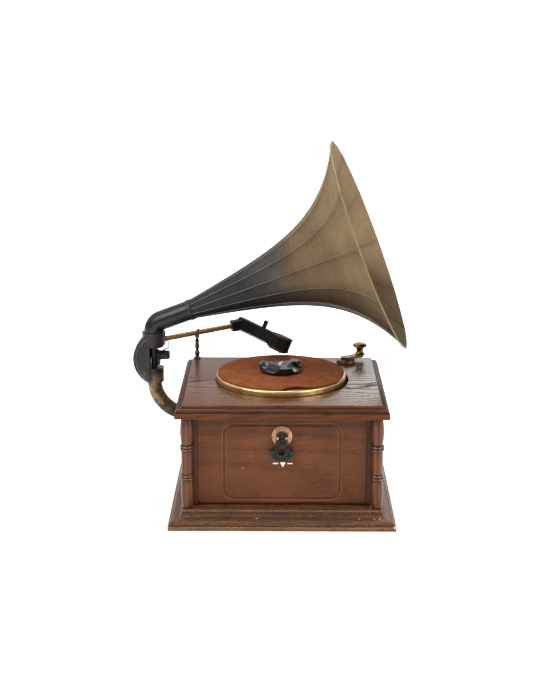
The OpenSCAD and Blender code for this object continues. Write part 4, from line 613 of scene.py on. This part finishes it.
def matCurl(x, y):
    turn = math.radians(mat["curlDirDeg"])
    inward = mat["radiusMm"] - (x * math.cos(turn) + y * math.sin(turn))
    side = y * math.cos(turn) - x * math.sin(turn)
    return math.exp(-(side / (mat["curlWideMm"] / 2)) ** 2 - (inward / (mat["curlRunMm"] / 2)) ** 2)


def matRipple(x, y):
    place = Vector((x / mat["rippleLongMm"], y / mat["rippleLongMm"], mat["rippleRow"]))
    return (math.hypot(x, y) / mat["radiusMm"]) ** 4 * (1 + noise.noise(place))


bm = bmesh.new()
bmesh.ops.create_circle(bm, segments=mat["sides"], radius=mat["holeMm"])
wide = mat["radiusMm"] - mat["holeMm"]
turnRings(bm, bm.edges[:], [(mat["holeMm"] + wide * ring / mat["rings"], 0.0)
                            for ring in range(1, mat["rings"] + 1)])
flatEdge = mat["radiusMm"] - mat["skiveMm"]
upper = set(only(BMVert, bmesh.ops.extrude_face_region(bm, geom=bm.faces[:], use_keep_orig=True)["geom"]))
for v in bm.verts:
    curl = matCurl(v.co.x, v.co.y)
    ripple = matRipple(v.co.x, v.co.y)
    skive = max(0.0, (v.co.xy.length - flatEdge) / mat["skiveMm"]) ** 2
    v.co *= 1 - curl * mat["backMm"] / mat["radiusMm"]
    v.co.z = curl * mat["curlMm"] + ripple * mat["rippleMm"]
    if v in upper:
        v.co.z += mat["thickMm"] + (mat["edgeMm"] - mat["thickMm"]) * skive
lowest = min(v.co.z for v in bm.verts)
bmesh.ops.translate(bm, verts=bm.verts, vec=(*mat["centre"], mat["restMm"] - lowest))
matPiece = finishPiece(bm, "suedeMat", "platter", suede, mat["smoothDeg"], ["mat"])
print("mat laid")


# Thin round wires and beads that follow a path, as one curve
def addWire(name, paths, radiusMm, body, finish, closed=False):
    curve = bpy.data.curves.new(name, "CURVE")
    curve.dimensions = "3D"
    curve.bevel_depth = radiusMm * mm
    curve.bevel_resolution = 2
    curve.use_fill_caps = not closed
    for path in paths:
        spline = curve.splines.new("POLY")
        spline.points.add(len(path) - 1)
        spline.use_cyclic_u = closed
        for point, place in zip(spline.points, path):
            point.co = (*place, 1.0)
    piece = bpy.data.objects.new(name, curve)
    bpy.context.scene.collection.objects.link(piece)
    curve.materials.append(finish)
    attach(piece, body)


# Turned columns: a pair of raised beads at each end of the straight part, lighter as painted highlight, with
# dark rings in the quirks as painted shade
turning = {"pairsMm": (27.15, 52.15), "sides": 40, "rings": {
    # beads are lighter as painted highlight
    "columnBeads": (beadWoodHighlit, 0.85, ((-1.25, 4.75), (1.25, 4.75))),
    # dark rings in the quirks are painted shade
    "columnQuirks": (quirkShadeWood, 0.4, ((0.0, 5.2), (-2.4, 4.8), (2.4, 4.8)))}}
feet = []
for name in [n for n in nodes if n.startswith("column_")]:
    corners = [v.co for v in nodes[name].data.vertices]
    low, high = (Vector([pick(c[k] for c in corners) for k in range(3)]) for pick in (min, max))
    feet.append(Vector(((low.x + high.x) / 2, (low.y + high.y) / 2, low.z)))
turns = [2 * math.pi * k / turning["sides"] for k in range(turning["sides"])]
for name, (finish, wireMm, rings) in turning["rings"].items():
    loops = []
    for foot in feet:
        for pair in turning["pairsMm"]:
            for rise, radius in rings:
                loops.append([foot + Vector((radius * math.cos(a), radius * math.sin(a), pair + rise)) * mm
                              for a in turns])
    addWire(name, loops, wireMm, "cabinet", finish, closed=True)
print("columns turned")

# Bracket: a raised bead follows the round back on both cheeks
bead = {"centre": (-108.0, 108.5), "radiusMm": 22.2, "facesMm": (45.5, 62.5), "fromDeg": 122, "toDeg": 236,
        "wireMm": 0.6, "steps": 40}
sweep = [math.radians(bead["fromDeg"] + (bead["toDeg"] - bead["fromDeg"]) * k / bead["steps"])
         for k in range(bead["steps"] + 1)]
arcs = []
for face in bead["facesMm"]:
    arcs.append([Vector((bead["centre"][0] + bead["radiusMm"] * math.cos(a), face,
                         bead["centre"][1] + bead["radiusMm"] * math.sin(a))) * mm for a in sweep])
addWire("bracketBeads", arcs, bead["wireMm"], bodyOf["horn_bracket"], rubbedGunmetal)
print("bracket beaded")

# Horn trim: a folded seam between each two panels and a rolled wire round the mouth
seam = {"radiusMm": 0.22, "proudMm": 0.05, "steps": 60, "crowd": 1.6, "rimMm": 0.75, "rimOutMm": 0.3,
        "rimSteps": 6, "rimBow": 0.95}
flareGain = (horn["mouthMm"] - horn["neckMm"] - horn["slope"] * horn["lengthMm"]) / (
    math.exp(horn["lengthMm"] / horn["flareMm"]) - 1)


def hornRadius(t):
    return horn["neckMm"] + horn["slope"] * t + flareGain * (math.exp(t / horn["flareMm"]) - 1)


def hornPoint(t, angleDeg, radius):
    a = math.radians(angleDeg)
    return hornFrame @ (Vector((radius * math.cos(a), radius * math.sin(a), t)) * mm)


panelDeg = 360 / horn["panels"]
stations = [horn["lengthMm"] * (1 - (1 - k / seam["steps"]) ** seam["crowd"]) for k in range(seam["steps"] + 1)]
seams = [[hornPoint(t, horn["seamTurnDeg"] + i * panelDeg, hornRadius(t) + seam["proudMm"]) for t in stations]
         for i in range(horn["panels"])]
addWire("hornSeams", seams, seam["radiusMm"], "horn", seamBronze)
flat = hornRadius(horn["lengthMm"]) * math.cos(math.radians(panelDeg / 2))
rim = []
for i in range(horn["panels"]):
    for k in range(seam["rimSteps"]):
        share = k / seam["rimSteps"]
        straight = flat / math.cos(math.radians((share - 0.5) * panelDeg))
        bow = (1 - abs(2 * share - 1)) * horn["scallopMm"] * seam["rimBow"]
        rim.append(hornPoint(horn["lengthMm"] + seam["rimOutMm"], horn["seamTurnDeg"] + (i + share) * panelDeg,
                             straight + bow))
addWire("hornRim", [rim], seam["rimMm"], "horn", rimBrass, closed=True)
print("horn trimmed")

# Knob of the lever: a turned mushroom with a hollow line to its stem, a rolled edge and a low dome
knob = {"centre": (69.95, 64.17), "waistMm": (3.1, 112.9), "hollowMm": 3.8, "stemMm": (-3.4, 3.3), "capMm": 6.6,
        "edgeMm": 117.2, "lipMm": 1.0, "domeMm": 3.2, "capDeg": (-35, 86), "sides": 64, "steps": 14,
        "smoothDeg": 60}
profile = []
for k in range(knob["steps"] + 1):
    rise = knob["stemMm"][0] + (knob["stemMm"][1] - knob["stemMm"][0]) * k / knob["steps"]
    hollow = knob["hollowMm"] - math.sqrt(knob["hollowMm"] ** 2 - rise ** 2)
    profile.append((knob["waistMm"][0] + hollow, knob["waistMm"][1] + rise))
for k in range(knob["steps"] + 1):
    turn = math.radians(knob["capDeg"][0] + (knob["capDeg"][1] - knob["capDeg"][0]) * k / knob["steps"])
    tall = knob["domeMm"] if turn > 0 else knob["lipMm"]
    profile.append((knob["capMm"] * math.cos(turn), knob["edgeMm"] + tall * math.sin(turn)))
footRadius, footLevel = profile[0]
bm = bmesh.new()
foot = bmesh.ops.create_circle(bm, cap_ends=True, segments=knob["sides"], radius=footRadius)["verts"]
bmesh.ops.translate(bm, verts=foot, vec=(0, 0, footLevel))
crown = turnRings(bm, bm.edges[:], profile[1:])
bmesh.ops.holes_fill(bm, edges=crown, sides=0)
bmesh.ops.translate(bm, verts=bm.verts, vec=(*knob["centre"], 0))
finishPiece(bm, "turnedKnob", bodyOf["lever_knob"], knobBrass, knob["smoothDeg"],
            ["lever_knob"])
print("knob turned")

# Plain cream mark on the door: a small arrow that points down between two dashes
mark = {"centre": (0.6, -64.3, 50.6), "arrowMm": 2.7, "dashMm": (4.4, 0.9), "dashUpMm": 0.4, "gapMm": 2.4,
        "paintMm": 0.06}
bm = bmesh.new()
arrow = bmesh.ops.create_circle(bm, cap_ends=True, segments=3, radius=mark["arrowMm"])["verts"]
bmesh.ops.rotate(bm, verts=arrow, cent=(0, 0, 0), matrix=Matrix.Rotation(math.pi, 3, "Z"))
dashAway = mark["gapMm"] + mark["arrowMm"] / 2 + mark["dashMm"][0] / 2
for side in (-1, 1):
    dash = bmesh.ops.create_grid(bm, x_segments=1, y_segments=1, size=0.5)["verts"]
    bmesh.ops.scale(bm, verts=dash, vec=(*mark["dashMm"], 1))
    bmesh.ops.translate(bm, verts=dash, vec=(side * dashAway, mark["dashUpMm"], 0))
raised = bmesh.ops.extrude_face_region(bm, geom=bm.faces[:], use_keep_orig=True)["geom"]
bmesh.ops.translate(bm, verts=only(BMVert, raised), vec=(0, 0, mark["paintMm"]))
bmesh.ops.rotate(bm, verts=bm.verts, cent=(0, 0, 0), matrix=Matrix.Rotation(math.pi / 2, 3, "X"))
bmesh.ops.translate(bm, verts=bm.verts, vec=mark["centre"])
finishPiece(bm, "doorMark", "door", creamPaint)
print("door marked")

# Ornament of the key pull: a spiked crown, scrolls along shank and ring, and beads on the shank, the
# shoulders and the scrolls' eyes. A scroll has its place, its outer and inner radius, its start and its sweep
key = {"pin": (0.0, -67.6, 74.8), "frontMm": -1.3, "wireMm": 0.6, "steps": 32, "eyeMm": 0.35, "scrolls": (
    (6.1, -14.1, 3.2, 0.8, 60, 400), (3.0, -3.6, 2.0, 0.4, -30, 360), (2.4, -18.6, 1.6, 0.4, 120, 380),
    (4.6, -8.6, 1.9, 0.4, 250, -340), (2.9, 1.4, 1.6, 0.4, 200, -330)),
    "shank": ((0, 1.2, 2.0), (0, -2.2, 1.6), (0, -5.6, 1.5), (0, -19.6, 1.1)),
    "shoulders": ((3.4, -6.4, 1.5), (5.0, -9.9, 1.7), (4.6, -17.6, 1.7)),
    "crown": (-4.4, -2.2, 0.0, 2.2, 4.4), "crownMm": 2.8, "crownOutMm": 0.6, "crownBow": 0.06, "leanDeg": 7,
    "spikeMm": (0.9, 0.25, 2.6)}
keyPlace = Vector(key["pin"])
scrolls = []
beads = list(key["shank"])
for x, z, radius in key["shoulders"]:
    beads += [(-x, z, radius), (x, z, radius)]
for x, z, wide, eye, startDeg, sweepDeg in key["scrolls"]:
    for side in (-1, 1):
        path = []
        for k in range(key["steps"] + 1):
            turn = math.radians(startDeg + sweepDeg * k / key["steps"])
            radius = wide + (eye - wide) * k / key["steps"]
            path.append((keyPlace + Vector((side * (x + radius * math.cos(turn)), key["frontMm"],
                                            z + radius * math.sin(turn)))) * mm)
        scrolls.append(path)
        beads.append((side * x, z, eye + key["eyeMm"]))
addWire("keyScrolls", scrolls, key["wireMm"], "pull", blackIron)
bm = bmesh.new()
for x, z, radius in beads:
    middle = keyPlace + Vector((x, key["frontMm"], z))
    bmesh.ops.create_icosphere(bm, subdivisions=2, radius=radius, matrix=Matrix.Translation(middle))
footRadius, tipRadius, tall = key["spikeMm"]
for x in key["crown"]:
    lean = Matrix.Rotation(math.radians(x * key["leanDeg"]), 4, "Y")
    middle = keyPlace + Vector((x, key["frontMm"] - key["crownOutMm"],
                                key["crownMm"] + tall / 2 - key["crownBow"] * x * x))
    bmesh.ops.create_cone(bm, cap_ends=True, segments=10, radius1=footRadius, radius2=tipRadius, depth=tall,
                          matrix=Matrix.Translation(middle) @ lean)
    bmesh.ops.create_icosphere(bm, subdivisions=2, radius=footRadius,
                               matrix=Matrix.Translation(middle - Vector((0, 0, tall / 2))))
finishPiece(bm, "keyCrown", "pull", blackIron)
print("key ornamented")

# Head of the tonearm: a knurled soundbox with a sunk cover, and a pale trim strip under the head
head = {"pivot": (-114.7, 54.0, 124.2), "armTurnDeg": 20.5, "armRiseDeg": 5.6, "armMm": 83.5, "turnDeg": 57.6,
        "fallDeg": 13.4, "rollDeg": 20, "lengthMm": 44.9, "halfWideMm": 4.5, "halfHighMm": 5.9}
box = {"radiusMm": 9.8, "tallMm": 13.0, "flutes": 44, "fluteMm": 0.28, "coverMm": 1.6, "sunkMm": 0.9}
headFrame = Matrix.Translation(head["pivot"])
for step in (Matrix.Rotation(math.radians(head["armTurnDeg"]), 4, "Z"),
             Matrix.Rotation(math.radians(-head["armRiseDeg"]), 4, "Y"),
             Matrix.Translation((head["armMm"], 0, 0)),
             Matrix.Rotation(math.radians(head["armRiseDeg"]), 4, "Y"),
             Matrix.Rotation(math.radians(-head["turnDeg"]), 4, "Z"),
             Matrix.Rotation(math.radians(head["fallDeg"]), 4, "Y"),
             Matrix.Rotation(math.radians(-head["rollDeg"]), 4, "X")):
    headFrame = headFrame @ step
bm = bmesh.new()
bmesh.ops.create_circle(bm, cap_ends=True, segments=box["flutes"] * 4, radius=box["radiusMm"])
for k, v in enumerate(bm.verts):
    if k % 4 in (2, 3):
        v.co = v.co.normalized() * (box["radiusMm"] - box["fluteMm"])
bmesh.ops.translate(bm, verts=bm.verts, vec=(0, 0, -box["tallMm"] / 2))
raised = bmesh.ops.extrude_face_region(bm, geom=bm.faces[:], use_keep_orig=True)["geom"]
bmesh.ops.translate(bm, verts=only(BMVert, raised), vec=(0, 0, box["tallMm"]))
bmesh.ops.recalc_face_normals(bm, faces=bm.faces)
ends = [f for f in bm.faces if abs(f.normal.z) > 0.9]
bmesh.ops.inset_individual(bm, faces=ends, thickness=box["coverMm"])
for end in ends:
    sunk = math.copysign(box["sunkMm"], end.calc_center_median().z)
    bmesh.ops.translate(bm, verts=end.verts[:], vec=(0, 0, -sunk))
bmesh.ops.transform(bm, verts=bm.verts, matrix=headFrame @ Matrix.Translation((head["lengthMm"], 0, 0)))
finishPiece(bm, "knurledSoundbox", "tonearm", drumAbs, replaced=["soundbox"])
trim = {"fromMm": 3.0, "toMm": 34.5, "tallMm": 1.3, "proudMm": 0.25, "easeMm": 0.2}
bm = bmesh.new()
bmesh.ops.create_cube(bm, size=1.0)
bmesh.ops.scale(bm, verts=bm.verts, vec=(trim["toMm"] - trim["fromMm"], 1.0, trim["tallMm"]))
bmesh.ops.bevel(bm, geom=bm.edges[:], offset=trim["easeMm"], offset_type="OFFSET", affect="EDGES", segments=2,
                profile=0.5, material=-1)
bmesh.ops.translate(bm, verts=bm.verts, vec=((trim["fromMm"] + trim["toMm"]) / 2,
                                             0.5 - trim["proudMm"] - head["halfWideMm"],
                                             trim["tallMm"] / 2 - head["halfHighMm"]))
bmesh.ops.transform(bm, verts=bm.verts, matrix=headFrame)
finishPiece(bm, "headTrim", "tonearm", greyAbs)
print("head finished")
